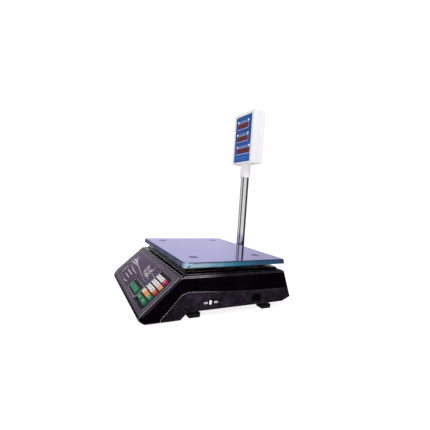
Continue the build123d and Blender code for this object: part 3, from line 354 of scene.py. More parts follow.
def mat_head_white():
    """White ABS case: fine moulding texture and faint cream drift; greyer along the edges and in the inside corners;
    its side faces carry a painted shade.
    """
    m = Mat("head_white_abs", Subsurface_Weight=0.04)
    m.b.inputs["Subsurface Radius"].default_value = (0.6, 0.5, 0.45)
    m.b.inputs["Subsurface Scale"].default_value = 0.0015
    drift = m.noise(9.0, 4.0, 0.55)
    c = m.mix(m.fmap(drift, 0.3, 0.7, 0, 1), (0.80, 0.785, 0.83), (0.865, 0.85, 0.875))
    speck = m.noise(420.0, 3.0, 0.7)
    c = m.mix(m.fmap(speck, 0.62, 0.8, 0.0, 0.35), c, (0.70, 0.69, 0.72))
    # greyer along the edges and in the inside corners
    edge = m.edge(0.0016, 0.02, 0.4)
    c = m.mix(m.math("MULTIPLY", edge, 0.22), c, (0.62, 0.62, 0.66))
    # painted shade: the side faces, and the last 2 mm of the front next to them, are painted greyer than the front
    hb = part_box("head_front_shell")
    flank = m.math("ABSOLUTE", m.math("SUBTRACT", m.xyz()[0], (hb[0].x + hb[1].x) / 2))
    half = (hb[1].x - hb[0].x) / 2
    c = m.mix(m.fmap(flank, half - 0.0022, half - 0.0006, 0.0, 1.0), c, m.mix(m.fmap(drift, 0.3, 0.7, 0, 1), (0.735, 0.72, 0.76), (0.785, 0.77, 0.80)))
    m.base(c)
    m.rough(m.fmap(m.noise(40.0, 4.0, 0.6), 0.3, 0.7, 0.27, 0.42))
    nb = m.bevel(0.0007)
    nb = m.bump(m.noise(1100.0, 3.0, 0.55), 0.00005, 0.35, nb)
    nb = m.bump(m.noise(28.0, 2.0, 0.5), 0.0003, 0.05, nb)
    m.normal(nb)
    return m.m


def mat_blue_film():
    """Reverse-printed polycarbonate film: blue gradient, darker margins, a screen-print grain."""
    m = Mat("blue_print_film")
    x, y, z = m.xyz()
    h = m.fmap(z, 0.3623, 0.4985, 0.0, 1.0)
    c = m.ramp(h, [(0.0, (0.024, 0.118, 0.50)), (0.22, (0.022, 0.100, 0.43)), (0.55, (0.022, 0.070, 0.27)),
                   (0.85, (0.020, 0.080, 0.30)), (1.0, (0.016, 0.115, 0.36))])
    u = m.math("ABSOLUTE", m.math("SUBTRACT", x, -0.05825))
    c = m.mix(m.fmap(u, 0.036, 0.0425, 0.0, 0.65, smooth=True), c, (0.010, 0.030, 0.12))
    v = m.math("ABSOLUTE", m.math("SUBTRACT", z, 0.4304))
    c = m.mix(m.fmap(v, 0.0635, 0.068, 0.0, 0.6, smooth=True), c, (0.010, 0.030, 0.12))
    c = m.mix(m.fmap(m.noise(60.0, 5.0, 0.7), 0.35, 0.75, 0.0, 0.25), c, (0.04, 0.10, 0.36))
    dot = m.voronoi(1300.0, vec=m.obj())
    c = m.mix(m.fmap(dot, 0.0, 0.45, 0.22, 0.0), c, (0.05, 0.13, 0.42))
    m.base(c)
    m.rough(m.fmap(m.noise(30.0, 4.0, 0.6), 0.3, 0.7, 0.16, 0.3))
    nb = m.bump(m.noise(800.0, 2.0, 0.5), 0.00002, 0.3)
    m.normal(m.bump(m.noise(35.0, 2.0, 0.5), 0.0002, 0.08, nb))
    return m.m


def mat_window():
    """Dark red tinted acrylic."""
    m = Mat("red_tint_acrylic", IOR=1.49)
    m.b.inputs["Transmission Weight"].default_value = 0.72
    x, y, z = m.xyz()
    tint = m.noise(70.0, 4.0, 0.6)
    c = m.mix(m.fmap(tint, 0.3, 0.7, 0, 1), (0.36, 0.075, 0.06), (0.50, 0.13, 0.10))
    c = m.mix(m.fmap(m.noise(900.0, 2.0, 0.6), 0.6, 0.8, 0.0, 0.3), c, (0.55, 0.28, 0.24))
    m.base(c)
    m.rough(m.fmap(m.noise(50.0, 4.0, 0.65), 0.35, 0.75, 0.05, 0.14))
    m.normal(m.bump(m.noise(60.0, 2.0, 0.5), 0.0001, 0.06))
    return m.m


def mat_panel_film():
    """Textured polyester overlay: aubergine metallic ink, darker towards its foot, under a velvet finish."""
    m = Mat("panel_print_film")
    x, y, z = m.xyz()
    cloud = m.noise(16.0, 4.0, 0.6)
    across = m.fmap(x, -0.158, 0.073, 0.0, 1.0)
    c = m.ramp(across, [(0.0, (0.120, 0.078, 0.140)), (0.35, (0.086, 0.055, 0.102)), (1.0, (0.062, 0.039, 0.076))])
    foot = m.fmap(z, 0.020, 0.062, 0.62, 0.0, smooth=True)
    c = m.mix(foot, c, (0.026, 0.016, 0.034))
    c = m.mix(m.fmap(cloud, 0.3, 0.75, 0.0, 0.4), c, (0.085, 0.054, 0.102))
    flake = m.voronoi(1700.0, out="Color")
    fl = m.new("ShaderNodeRGBToBW")
    m.link(flake, fl.inputs[0])
    c = m.mix(m.fmap(fl.outputs[0], 0.55, 0.95, 0.0, 0.45), c, (0.19, 0.135, 0.225))
    c = m.mix(m.fmap(fl.outputs[0], 0.4, 0.1, 0.0, 0.5), c, (0.028, 0.018, 0.036))
    m.base(c)
    m.rough(m.fmap(m.noise(45.0, 4.0, 0.6), 0.3, 0.75, 0.30, 0.44))
    m.put(m.b.inputs["Metallic"], m.fmap(fl.outputs[0], 0.5, 0.9, 0.15, 0.45))
    nb = m.bump(m.noise(1500.0, 2.0, 0.6), 0.00004, 0.5)
    m.normal(m.bump(m.noise(26.0, 2.0, 0.5), 0.0003, 0.06, nb))
    m.b.inputs["Specular Tint"].default_value = (0.88, 0.70, 1.0, 1.0)
    return m.m


def mat_plastic(name, a, b, r0=0.3, r1=0.45, grain=900.0, bump=0.00004, edge=None, spec=None):
    """Moulded plastic with a drift between two shades, a fine surface grain and rubbed edges."""
    m = Mat(name)
    c = m.mix(m.fmap(m.noise(40.0, 5.0, 0.62), 0.32, 0.7, 0, 1), a, b)
    c = m.mix(m.fmap(m.noise(520.0, 3.0, 0.7), 0.58, 0.8, 0.0, 0.35), c, times(b, 1.25) if max(b) < 0.7 else times(b, 0.8))
    if edge is not None:
        c = m.mix(m.math("MULTIPLY", m.edge(0.0006, 0.02, 0.35), 0.55), c, edge)
    m.base(c)
    m.rough(m.fmap(m.noise(110.0, 4.0, 0.6), 0.3, 0.7, r0, r1))
    nb = m.bevel(0.0004)
    m.normal(m.bump(m.noise(grain, 3.0, 0.6), bump, 0.45, nb))
    return m.m


def mat_metal(name, a, b, r0=0.2, r1=0.4, stretch=(1, 1, 0.05), scale=500.0, pits=0.0):
    m = Mat(name, Metallic=1.0)
    line = m.noise(scale, 3.0, 0.6, vec=m.scaled(stretch))
    c = m.mix(m.fmap(line, 0.35, 0.7, 0, 1), a, b)
    c = m.mix(m.fmap(m.noise(35.0, 5.0, 0.65), 0.5, 0.8, 0.0, 0.4), c, times(a, 0.6))
    m.base(c)
    m.rough(m.fmap(line, 0.3, 0.7, r0, r1))
    nb = m.bump(line, 0.00002, 0.4)
    if pits:
        nb = m.bump(m.voronoi(800.0), 0.00008, pits, nb)
    m.normal(nb)
    return m.m


def mat_board(name):
    """Green solder mask with buried copper tracks and drilled pads."""
    m = Mat(name)
    cell = m.voronoi(170.0, feature="DISTANCE_TO_EDGE", rnd=0.55)
    pad = m.voronoi(240.0, rnd=0.4)
    c = m.mix(m.fmap(cell, 0.03, 0.06, 0.7, 0.0), (0.010, 0.085, 0.035), (0.030, 0.19, 0.075))
    c = m.mix(m.fmap(pad, 0.16, 0.2, 0.85, 0.0), c, (0.55, 0.50, 0.40))
    c = m.mix(m.fmap(m.noise(60.0, 4.0, 0.6), 0.4, 0.8, 0, 0.4), c, (0.006, 0.05, 0.022))
    m.base(c)
    m.rough(m.fmap(m.noise(90.0, 3.0, 0.6), 0.3, 0.7, 0.25, 0.45))
    m.normal(m.bump(cell, 0.00008, 0.5))
    return m.m


def mat_laminated(name):
    """Transformer: stacked silicon-steel sheets with varnish."""
    m = Mat(name, Metallic=0.65)
    w = m.wave(320.0, "Z", 1.2, 2.0)
    c = m.mix(m.fmap(w, 0.3, 0.7, 0, 1), (0.08, 0.055, 0.035), (0.26, 0.22, 0.18))
    c = m.mix(m.fmap(m.noise(50.0, 4.0, 0.6), 0.45, 0.75, 0, 0.5), c, (0.16, 0.09, 0.04))
    m.base(c)
    m.rough(m.fmap(w, 0.2, 0.8, 0.3, 0.55))
    m.normal(m.bump(w, 0.0001, 0.5))
    return m.m


def mat_print(name, a, b, r=0.45):
    """Screen-printed ink: slightly uneven cover and a satin face."""
    m = Mat(name)
    c = m.mix(m.fmap(m.noise(160.0, 4.0, 0.7), 0.35, 0.7, 0, 1), a, b)
    c = m.mix(m.fmap(m.noise(1400.0, 2.0, 0.6), 0.6, 0.8, 0.0, 0.4), c, times(a, 0.7))
    m.base(c)
    m.rough(m.fmap(m.noise(300.0, 3.0, 0.6), 0.3, 0.7, r - 0.08, r + 0.08))
    m.normal(m.bump(m.noise(2200.0, 2.0, 0.6), 0.00001, 0.4))
    return m.m


def mat_segment():
    """Unlit display segments: milky resin in the grey-black face of a digit module."""
    m = Mat("digit_segment")
    c = m.mix(m.fmap(m.noise(260.0, 3.0, 0.6), 0.3, 0.7, 0, 1), (0.50, 0.46, 0.42), (0.66, 0.60, 0.55))
    m.base(c)
    m.rough(m.fmap(m.noise(200.0, 3.0, 0.6), 0.3, 0.7, 0.3, 0.5))
    m.normal(m.bump(m.noise(1200.0, 2.0, 0.5), 0.00002, 0.3))
    return m.m


def mat_rubber(name, a, b):
    m = Mat(name)
    c = m.mix(m.fmap(m.noise(55.0, 5.0, 0.65), 0.3, 0.72, 0, 1), a, b)
    c = m.mix(m.fmap(m.noise(700.0, 2.0, 0.6), 0.6, 0.8, 0, 0.5), c, (0.05, 0.048, 0.046))
    c = m.mix(m.math("MULTIPLY", m.edge(0.0008, 0.02, 0.35), 0.5), c, (0.045, 0.043, 0.042))
    m.base(c)
    m.rough(m.fmap(m.noise(130.0, 4.0, 0.6), 0.3, 0.7, 0.55, 0.8))
    nb = m.bevel(0.0005)
    m.normal(m.bump(m.noise(1000.0, 3.0, 0.6), 0.00009, 0.55, nb))
    return m.m


def mat_vial():
    m = Mat("vial_fluid", IOR=1.45)
    m.b.inputs["Transmission Weight"].default_value = 0.35
    m.base(m.mix(m.fmap(m.noise(60.0, 3.0, 0.5), 0.3, 0.7, 0, 1), (0.45, 0.72, 0.16), (0.60, 0.82, 0.24)))
    m.rough(m.fmap(m.noise(120.0, 3.0, 0.5), 0.3, 0.7, 0.04, 0.12))
    m.normal(m.bump(m.noise(300.0, 2.0, 0.5), 0.00002, 0.2))
    return m.m


def mat_film_scrap():
    """Crumpled corner of the pan's protective film."""
    m = Mat("loose_film", IOR=1.5)
    n1 = m.noise(180.0, 4.0, 0.7)
    # the dark navy and pale cyan patches are painted shade and painted glints on the crumples
    c = m.ramp(n1, [(0.40, (0.02, 0.04, 0.09)), (0.47, (0.20, 0.36, 0.48)), (0.62, (0.60, 0.76, 0.84))])
    m.base(c)
    m.b.inputs["Transmission Weight"].default_value = 0.15
    m.rough(m.fmap(n1, 0.3, 0.7, 0.12, 0.3))
    m.normal(m.bump(m.noise(420.0, 3.0, 0.6), 0.0003, 0.5))
    return m.m


def mat_gasket():
    """Thin printed sheet between the keys: near-black, faintly mottled, finely grained."""
    m = Mat("keypad_gasket")
    n = m.noise(48.0, 5.0, 0.65)
    c = m.mix(m.fmap(n, 0.32, 0.7, 0, 1), (0.0060, 0.0040, 0.0085), (0.0150, 0.0105, 0.0190))
    c = m.mix(m.fmap(m.noise(900.0, 3.0, 0.7), 0.6, 0.8, 0.0, 0.4), c, (0.032, 0.026, 0.040))
    m.base(c)
    m.rough(m.fmap(n, 0.3, 0.7, 0.40, 0.55))
    m.normal(m.bump(m.noise(1400.0, 2.0, 0.6), 0.00003, 0.4))
    m.b.inputs["Specular IOR Level"].default_value = 0.28
    return m.m


GLOSS = mat_gloss_shell()
MATTE = mat_matte_shell()
PAN = mat_pan()
CHROME = mat_chrome()
WHITE = mat_head_white()
BLUE = mat_blue_film()
WINDOW = mat_window()
FILM = mat_panel_film()
SEGMENT = mat_segment()
RUBBER = mat_rubber("black_rubber", (0.006, 0.006, 0.006), (0.014, 0.0135, 0.013))
FOOT = mat_rubber("foot_rubber", (0.0045, 0.0045, 0.0048), (0.010, 0.010, 0.0105))
VIAL = mat_vial()
SCRAP = mat_film_scrap()
BOARD = mat_board("solder_mask")
CORE = mat_laminated("laminated_core")
ZINC = mat_metal("zinc_plated", (0.50, 0.50, 0.46), (0.72, 0.71, 0.66), 0.25, 0.42, (1, 1, 1), 220.0)
ALLOY = mat_metal("machined_aluminium_bar", (0.58, 0.58, 0.59), (0.76, 0.76, 0.77), 0.22, 0.38, (0.03, 1, 1), 520.0)
CAST = mat_metal("cast_spider", (0.40, 0.40, 0.41), (0.56, 0.56, 0.57), 0.42, 0.6, (1, 1, 1), 260.0, 0.5)
NICKEL = mat_metal("nickel_pins", (0.62, 0.60, 0.56), (0.85, 0.83, 0.78), 0.12, 0.25, (0.05, 1, 1), 600.0)
INLET = mat_plastic("inlet_black", (0.0042, 0.0040, 0.0044), (0.009, 0.0085, 0.009), 0.3, 0.45, edge=(0.03, 0.028, 0.03))
BRACKET = mat_plastic("bracket_black", (0.006, 0.005, 0.0065), (0.013, 0.011, 0.014), 0.42, 0.6, 700.0, 0.0001, edge=(0.05, 0.046, 0.052))


def mat_switch():
    """Slide knob: black carrier with a moulded-in white finger plate."""
    m = Mat("switch_two_shot")
    x, y, z = m.xyz()
    dy = m.math("ABSOLUTE", m.math("SUBTRACT", y, -0.04295))
    dz = m.math("ABSOLUTE", m.math("SUBTRACT", z, 0.0329))
    inside = m.math("MULTIPLY", m.fmap(dy, 0.00245, 0.00265, 1.0, 0.0), m.fmap(dz, 0.0042, 0.0044, 1.0, 0.0))
    n = m.noise(300.0, 4.0, 0.6)
    white = m.mix(m.fmap(n, 0.35, 0.7, 0, 1), (0.80, 0.80, 0.82), (0.90, 0.90, 0.91))
    black = m.mix(m.fmap(n, 0.35, 0.7, 0, 1), (0.006, 0.005, 0.007), (0.016, 0.014, 0.018))
    m.base(m.mix(inside, black, white))
    m.rough(m.fmap(m.noise(110.0, 4.0, 0.6), 0.3, 0.7, 0.25, 0.42))
    m.normal(m.bump(m.noise(900.0, 3.0, 0.6), 0.00004, 0.45, m.bevel(0.0004)))
    return m.m


SWITCHW = mat_switch()
BATTERY = mat_plastic("battery_case", (0.018, 0.018, 0.020), (0.034, 0.034, 0.037), 0.4, 0.55)
BOARD_BLACK = mat_plastic("digit_module_face", (0.016, 0.014, 0.015), (0.028, 0.024, 0.025), 0.35, 0.5)
KEYC = {
    "key_white": (lin(226, 219, 222), lin(243, 240, 240)),
    "key_magenta": (lin(165, 34, 86), lin(190, 46, 104)),
    "key_peach": (lin(226, 160, 112), lin(240, 186, 138)),
    "key_rust": (lin(168, 66, 32), lin(196, 90, 50)),
    "key_cream": (lin(232, 206, 180), lin(246, 228, 206)),
    "key_orange": (lin(214, 128, 38), lin(232, 150, 62)),
    "key_gold": (lin(206, 140, 44), lin(226, 166, 76)),
    "key_teal": (lin(40, 108, 84), lin(66, 136, 108)),
    "key_green": (lin(16, 96, 62), lin(34, 124, 84)),
}
KEYM = {k: mat_plastic(k + "_cap", a, b, 0.32, 0.48, 1000.0, 0.00003, edge=times(b, 1.1) if max(b) < 0.6 else times(b, 0.9)) for k, (a, b) in KEYC.items()}
INK_PALE = mat_print("ink_pale", lin(206, 192, 210), lin(232, 222, 234))
INK_MID = mat_print("ink_mid", lin(158, 140, 166), lin(184, 168, 190))
INK_DARK = mat_print("ink_dark", lin(26, 17, 30), lin(40, 28, 45))
INK_GREY = mat_print("ink_grey", lin(96, 82, 84), lin(124, 108, 108))
INK_KEY = mat_print("ink_key", lin(58, 44, 48), lin(84, 66, 70))
INK_LEAF = mat_print("ink_leaf", lin(120, 176, 150), lin(150, 196, 172))
INK_WHITE = mat_print("ink_white", lin(214, 218, 232), lin(238, 240, 248))
INK_SKY = mat_print("ink_sky", lin(128, 148, 214), lin(158, 176, 228))
INK_LILAC = mat_print("ink_lilac", lin(156, 138, 196), lin(186, 168, 214))
KEYPAD_BLACK = mat_gasket()
# the pale ridge bead is a painted highlight on the edge of the frame round the keys
RIDGE_HIGHLIGHT = mat_plastic("ridge_painted_highlight", (0.24, 0.20, 0.26), (0.40, 0.36, 0.42), 0.3, 0.45, 900.0, 0.00005)
INK_MARK = mat_print("ink_mark", lin(188, 186, 188), lin(216, 214, 216))


def paint(node, mat):
    o = NODES[node]
    if not o.data.materials:
        o.data.materials.append(mat)
    for i in range(len(o.data.materials)):
        o.data.materials[i] = mat


PAINT = {
    "upper_housing": GLOSS, "lower_housing": MATTE, "housing_screws": ZINC, "panel_overlay": FILM, "key_board": BOARD,
    "main_board": BOARD, "power_board": BOARD, "transformer": CORE, "battery": BATTERY, "battery_strap": ZINC,
    "load_cell": ALLOY, "load_cell_base": CAST, "load_cell_bolts": ZINC, "power_inlet": INLET, "inlet_pins": NICKEL,
    "power_switch_body": INLET, "pole_tube": CHROME, "pole_bracket": BRACKET, "pole_bracket_screws": ZINC,
    "level_vial": VIAL, "pan_support": CAST, "pan_support_pads": RUBBER, "platform_bolts": ZINC, "weighing_pan": PAN,
    "pole_neck": WHITE, "head_front_shell": WHITE, "head_rear_shell": WHITE, "head_front_overlay": BLUE,
    "head_front_windows": WINDOW, "head_rear_overlay": BLUE, "head_rear_windows": WINDOW, "head_board": BOARD_BLACK,
    "head_screws": ZINC, "power_switch_knob": SWITCHW,
}
for n, mt in PAINT.items():
    paint(n, mt)
for n in ("foot_front_left", "foot_front_right", "foot_rear_left", "foot_rear_right"):
    paint(n, FOOT)
KEY_KIND = {}
for r in range(1, 4):
    for c in range(1, 4):
        KEY_KIND[f"key_r{r}c{c}"] = "key_white"
KEY_KIND.update(key_r1c4="key_magenta", key_r2c4="key_peach", key_r3c4="key_rust", key_r4c1="key_cream",
                key_r4c2="key_orange", key_r4c3="key_gold", key_r4c4="key_teal", key_r5_left="key_green",
                key_r5_right="key_green")
for i in range(1, 5):
    KEY_KIND[f"memory_key_{i}"] = "key_green"
for n, k in KEY_KIND.items():
    paint(n, KEYM[k])


# ---------------------------------------------------------------- mesh helpers
class Sheet:
    """A flat drawing surface: millimetres along u and v, and w out of it."""

    def __init__(self, origin, u, v):
        self.o = Vector(origin)
        self.u = Vector(u).normalized()
        self.v = Vector(v).normalized()
        self.w = self.u.cross(self.v)

    def at(self, a, b, c=0.0):
        return (self.o + self.u * a + self.v * b + self.w * c) * MM

    def matrix(self, a, b, c=0.0, turn=0.0):
        m = Matrix((self.u, self.v, self.w)).transposed().to_4x4()
        m = Matrix.Translation(self.at(a, b, c)) @ m @ Matrix.Rotation(turn, 4, "Z")
        return m @ Matrix.Scale(MM, 4)


PANEL = Sheet((0, -186.25, 13.2), (1, 0, 0), (0, math.cos(ANG), math.sin(ANG)))


def finish_mesh(bm, name, mat, body, smooth=None):
    bmesh.ops.recalc_face_normals(bm, faces=bm.faces)
    me = bpy.data.meshes.new(name)
    bm.to_mesh(me)
    bm.free()
    me.materials.append(mat)
    if smooth is not None:
        me.polygons.foreach_set("use_smooth", [True] * len(me.polygons))
        me.set_sharp_from_angle(angle=math.radians(smooth))
    o = bpy.data.objects.new(name, me)
    SCENE.collection.objects.link(o)
    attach(o, body)
    return o


def prism(bm, sheet, poly, w0, w1):
    lo = [bm.verts.new(sheet.at(a, b, w0)) for a, b in poly]
    hi = [bm.verts.new(sheet.at(a, b, w1)) for a, b in poly]
    bm.faces.new(hi)
    bm.faces.new(list(reversed(lo)))
    n = len(poly)
    for i in range(n):
        j = (i + 1) % n
        bm.faces.new((lo[i], lo[j], hi[j], hi[i]))


def ring(bm, sheet, outer, inner, w0, w1):
    n = len(outer)
    vo = [[bm.verts.new(sheet.at(a, b, w)) for a, b in outer] for w in (w0, w1)]
    vi = [[bm.verts.new(sheet.at(a, b, w)) for a, b in inner] for w in (w0, w1)]
    for i in range(n):
        j = (i + 1) % n
        bm.faces.new((vo[1][i], vo[1][j], vi[1][j], vi[1][i]))
        bm.faces.new((vo[0][j], vo[0][i], vi[0][i], vi[0][j]))
        bm.faces.new((vo[0][i], vo[0][j], vo[1][j], vo[1][i]))
        bm.faces.new((vi[0][j], vi[0][i], vi[1][i], vi[1][j]))


def rrect(cx, cy, w, h, r, n=5):
    r = min(r, w / 2 - 1e-4, h / 2 - 1e-4)
    out = []
    for qx, qy, a0 in ((1, 1, 0), (-1, 1, 90), (-1, -1, 180), (1, -1, 270)):
        for i in range(n + 1):
            a = math.radians(a0 + 90 * i / n)
            out.append((cx + qx * (w / 2 - r) + r * math.cos(a), cy + qy * (h / 2 - r) + r * math.sin(a)))
    return out


def plate(bm, sheet, us, vs, holes, w0, w1):
    """A closed plate over the cells between the us and vs, left open over the hole rectangles."""
    def solid(i, j):
        if not (0 <= i < len(us) - 1 and 0 <= j < len(vs) - 1):
            return False
        cu, cv = (us[i] + us[i + 1]) / 2, (vs[j] + vs[j + 1]) / 2
        return not any(a < cu < b and c < cv < d for a, b, c, d in holes)

    verts = {}

    def vert(i, j, k):
        if (i, j, k) not in verts:
            verts[i, j, k] = bm.verts.new(sheet.at(us[i], vs[j], (w0, w1)[k]))
        return verts[i, j, k]

    for i in range(len(us) - 1):
        for j in range(len(vs) - 1):
            if not solid(i, j):
                continue
            bm.faces.new([vert(i, j, 1), vert(i + 1, j, 1), vert(i + 1, j + 1, 1), vert(i, j + 1, 1)])
            bm.faces.new([vert(i, j + 1, 0), vert(i + 1, j + 1, 0), vert(i + 1, j, 0), vert(i, j, 0)])
            for di, dj, p, q in ((-1, 0, (i, j), (i, j + 1)), (1, 0, (i + 1, j), (i + 1, j + 1)),
                                 (0, -1, (i, j), (i + 1, j)), (0, 1, (i, j + 1), (i + 1, j + 1))):
                if not solid(i + di, j + dj):
                    bm.faces.new([vert(*p, 0), vert(*q, 0), vert(*q, 1), vert(*p, 1)])


def bead(bm, sheet, a, b, width, height, foot=0.0, n=8):
    """A half-round moulded bead from point a to point b, its ends rounded down."""
    pa, pb = Vector(a), Vector(b)
    d = (pb - pa).normalized()
    nrm = Vector((-d.y, d.x))
    rows = []
    length = (pb - pa).length
    for s, k in ((0.0, 0.25), (width * 0.2, 0.7), (width * 0.5, 1.0), (length - width * 0.5, 1.0), (length - width * 0.2, 0.7), (length, 0.25)):
        row = []
        for i in range(n + 1):
            t = math.pi * i / n
            q = pa + d * s + nrm * (width / 2 * k * math.cos(t))
            row.append(bm.verts.new(sheet.at(q.x, q.y, foot + height * k * math.sin(t))))
        rows.append(row)
    for p, q in zip(rows, rows[1:]):
        for i in range(n):
            bm.faces.new((p[i], p[i + 1], q[i + 1], q[i]))
        bm.faces.new((p[n], p[0], q[0], q[n]))
    bm.faces.new(rows[0])
    bm.faces.new(list(reversed(rows[-1])))


def disc(cx, cy, r, n=28):
    return [(cx + r * math.cos(2 * math.pi * i / n), cy + r * math.sin(2 * math.pi * i / n)) for i in range(n)]


def smooth_path(pts, per=8):
    out = []
    for i in range(len(pts) - 1):
        p0 = pts[max(i - 1, 0)]
        p1, p2 = pts[i], pts[i + 1]
        p3 = pts[min(i + 2, len(pts) - 1)]
        for k in range(per):
            t = k / per
            out.append(tuple(0.5 * ((2 * b) + (c - a) * t + (2 * a - 5 * b + 4 * c - d) * t * t + (3 * b - a - 3 * c + d) * t ** 3)
                             for a, b, c, d in zip(p0, p1, p2, p3)))
    out.append(tuple(pts[-1]))
    return out


def stroke(bm, sheet, pts, w0, w1, per=8):
    """A brush stroke: points are (u, v, width)."""
    path = smooth_path(pts, per)
    rows = []
    for i, (a, b, wd) in enumerate(path):
        pa = path[max(i - 1, 0)]
        pb = path[min(i + 1, len(path) - 1)]
        d = Vector((pb[0] - pa[0], pb[1] - pa[1]))
        d.normalize()
        nx, ny = -d.y * wd / 2, d.x * wd / 2
        rows.append([bm.verts.new(sheet.at(a + nx, b + ny, w0)), bm.verts.new(sheet.at(a - nx, b - ny, w0)),
                     bm.verts.new(sheet.at(a - nx, b - ny, w1)), bm.verts.new(sheet.at(a + nx, b + ny, w1))])
    for p, q in zip(rows, rows[1:]):
        for i in range(4):
            j = (i + 1) % 4
            bm.faces.new((p[i], p[j], q[j], q[i]))
    bm.faces.new(rows[0])
    bm.faces.new(list(reversed(rows[-1])))


def petal(bm, sheet, cx, cy, ang, r0, length, width, w0, w1, n=9):
    ca, sa = math.cos(ang), math.sin(ang)
    left, right = [], []
    for i in range(n + 1):
        t = i / n
        hw = width / 2 * math.sin(math.pi * min(max(t, 0.02), 0.985)) ** 0.75 * (0.75 + 0.4 * t)
        a = r0 + t * length
        left.append((cx + ca * a - sa * hw, cy + sa * a + ca * hw))
        right.append((cx + ca * a + sa * hw, cy + sa * a - ca * hw))
    prism(bm, sheet, left + list(reversed(right)), w0, w1)


def text_into(bm, sheet, string, size, u, v, w, thick, bold=0.0, turn=0.0, sx=1.0):
    cu = bpy.data.curves.new("t", "FONT")
    cu.body = string
    cu.size = size
    cu.align_x = "CENTER"
    cu.align_y = "CENTER"
    cu.extrude = thick / 2
    cu.offset = bold
    cu.resolution_u = 4
    ob = bpy.data.objects.new("t", cu)
    SCENE.collection.objects.link(ob)
    dg = bpy.context.evaluated_depsgraph_get()
    me = bpy.data.meshes.new_from_object(ob.evaluated_get(dg))
    me.transform(sheet.matrix(u, v, w + thick / 2, turn) @ Matrix.Diagonal((sx, 1, 1, 1)))
    bm.from_mesh(me)
    bpy.data.objects.remove(ob)
    bpy.data.curves.remove(cu)
    bpy.data.meshes.remove(me)


# --------------------------------------------------------------- key legends
KEY_TOP = 3.6
COLS = (89.8, 104.2, 118.6, 133.0)
ROWS = (79.8, 66.0, 52.2, 38.4)
MEM = (11.8, 26.3, 40.8, 55.3)
T0, T1 = KEY_TOP + 0.004, KEY_TOP + 0.03


def plus(bm, sheet, u, v, s, t, w0, w1):
    a = t / 2
    prism(bm, sheet, [(u - a, v - s), (u + a, v - s), (u + a, v - a), (u + s, v - a), (u + s, v + a), (u + a, v + a),
                      (u + a, v + s), (u - a, v + s), (u - a, v + a), (u - s, v + a), (u - s, v - a), (u - a, v - a)], w0, w1)


def arrow(bm, sheet, u, v, d, w0, w1, s=1.0):
    prism(bm, sheet, [(u - 2.6 * d * s, v - 0.42 * s), (u + 0.5 * d * s, v - 0.42 * s), (u + 0.5 * d * s, v - 1.35 * s),
                      (u + 2.6 * d * s, v), (u + 0.5 * d * s, v + 1.35 * s), (u + 0.5 * d * s, v + 0.42 * s),
                      (u - 2.6 * d * s, v + 0.42 * s)], w0, w1)


def dash(bm, sheet, u, v, w, h, w0, w1, r=0.3):
    prism(bm, sheet, rrect(u, v, w, h, r, 3), w0, w1)


digits = (("7", "8", "9"), ("4", "5", "6"), ("1", "2", "3"))
for r in range(3):
    for c in range(3):
        bm = bmesh.new()
        text_into(bm, PANEL, digits[r][c], 6.2, COLS[c] - 2.6, ROWS[r] + 0.1, T0, T1 - T0, 0.22)
        dash(bm, PANEL, COLS[c] + 2.4, ROWS[r] + 2.2, 4.2, 1.1, T0, T1)
        dash(bm, PANEL, COLS[c] + 2.2, ROWS[r] + 0.1, 3.6, 1.1, T0, T1)
        dash(bm, PANEL, COLS[c] + 2.4, ROWS[r] - 2.0, 4.2, 1.1, T0, T1)
        finish_mesh(bm, f"legend_r{r + 1}c{c + 1}", INK_KEY, f"key_r{r + 1}c{c + 1}_body")

bm = bmesh.new()
text_into(bm, PANEL, "C", 6.2, COLS[3], ROWS[0] + 0.5, T0, T1 - T0, 0.14)
finish_mesh(bm, "legend_r1c4", INK_PALE, "key_r1c4_body")
bm = bmesh.new()
plus(bm, PANEL, COLS[3], ROWS[1] + 0.2, 2.5, 1.1, T0, T1)
finish_mesh(bm, "legend_r2c4", INK_GREY, "key_r2c4_body")
bm = bmesh.new()
dash(bm, PANEL, COLS[3], ROWS[2] + 1.2, 4.8, 1.0, T0, T1)
dash(bm, PANEL, COLS[3], ROWS[2] - 1.2, 4.8, 1.0, T0, T1)
finish_mesh(bm, "legend_r3c4", INK_PALE, "key_r3c4_body")
bm = bmesh.new()
text_into(bm, PANEL, "0", 6.4, COLS[0], ROWS[3] + 0.6, T0, T1 - T0, 0.12)
finish_mesh(bm, "legend_r4c1", INK_GREY, "key_r4c1_body")
bm = bmesh.new()
text_into(bm, PANEL, "00", 5.6, COLS[1], ROWS[3] + 0.4, T0, T1 - T0, 0.12)
finish_mesh(bm, "legend_r4c2", INK_PALE, "key_r4c2_body")
bm = bmesh.new()
prism(bm, PANEL, disc(COLS[2], ROWS[3] - 0.8, 1.0, 18), T0, T1)
finish_mesh(bm, "legend_r4c3", INK_PALE, "key_r4c3_body")
bm = bmesh.new()
arrow(bm, PANEL, COLS[3], ROWS[3], 1, T0, T1, 1.25)
finish_mesh(bm, "legend_r4c4", INK_PALE, "key_r4c4_body")
bm = bmesh.new()
arrow(bm, PANEL, 92.4, 24.6, 1, T0, T1, 1.1)
ring(bm, PANEL, disc(97.0, 24.6, 1.9, 20), disc(97.0, 24.6, 1.1, 20), T0, T1)
arrow(bm, PANEL, 101.6, 24.6, -1, T0, T1, 1.1)
finish_mesh(bm, "legend_r5_left", INK_PALE, "key_r5_left_body")
bm = bmesh.new()
ring(bm, PANEL, rrect(125.8, 24.6, 7.6, 4.4, 0.8, 3), rrect(125.8, 24.6, 6.4, 3.2, 0.5, 3), T0, T1)
dash(bm, PANEL, 125.8, 24.6, 3.4, 0.8, T0, T1)
finish_mesh(bm, "legend_r5_right", INK_PALE, "key_r5_right_body")
for i in range(4):
    bm = bmesh.new()
    text_into(bm, PANEL, str(i + 1), 4.6, MEM[i] - 3.0, 29.0, T0, T1 - T0, 0.12)
    dash(bm, PANEL, MEM[i] + 3.6, 26.0, 1.7, 10.4, T0, T1)
    dash(bm, PANEL, MEM[i] - 3.0, 23.6, 3.6, 1.2, T0, T1)
    finish_mesh(bm, f"legend_memory_{i + 1}", INK_LEAF, f"memory_key_{i + 1}_body")

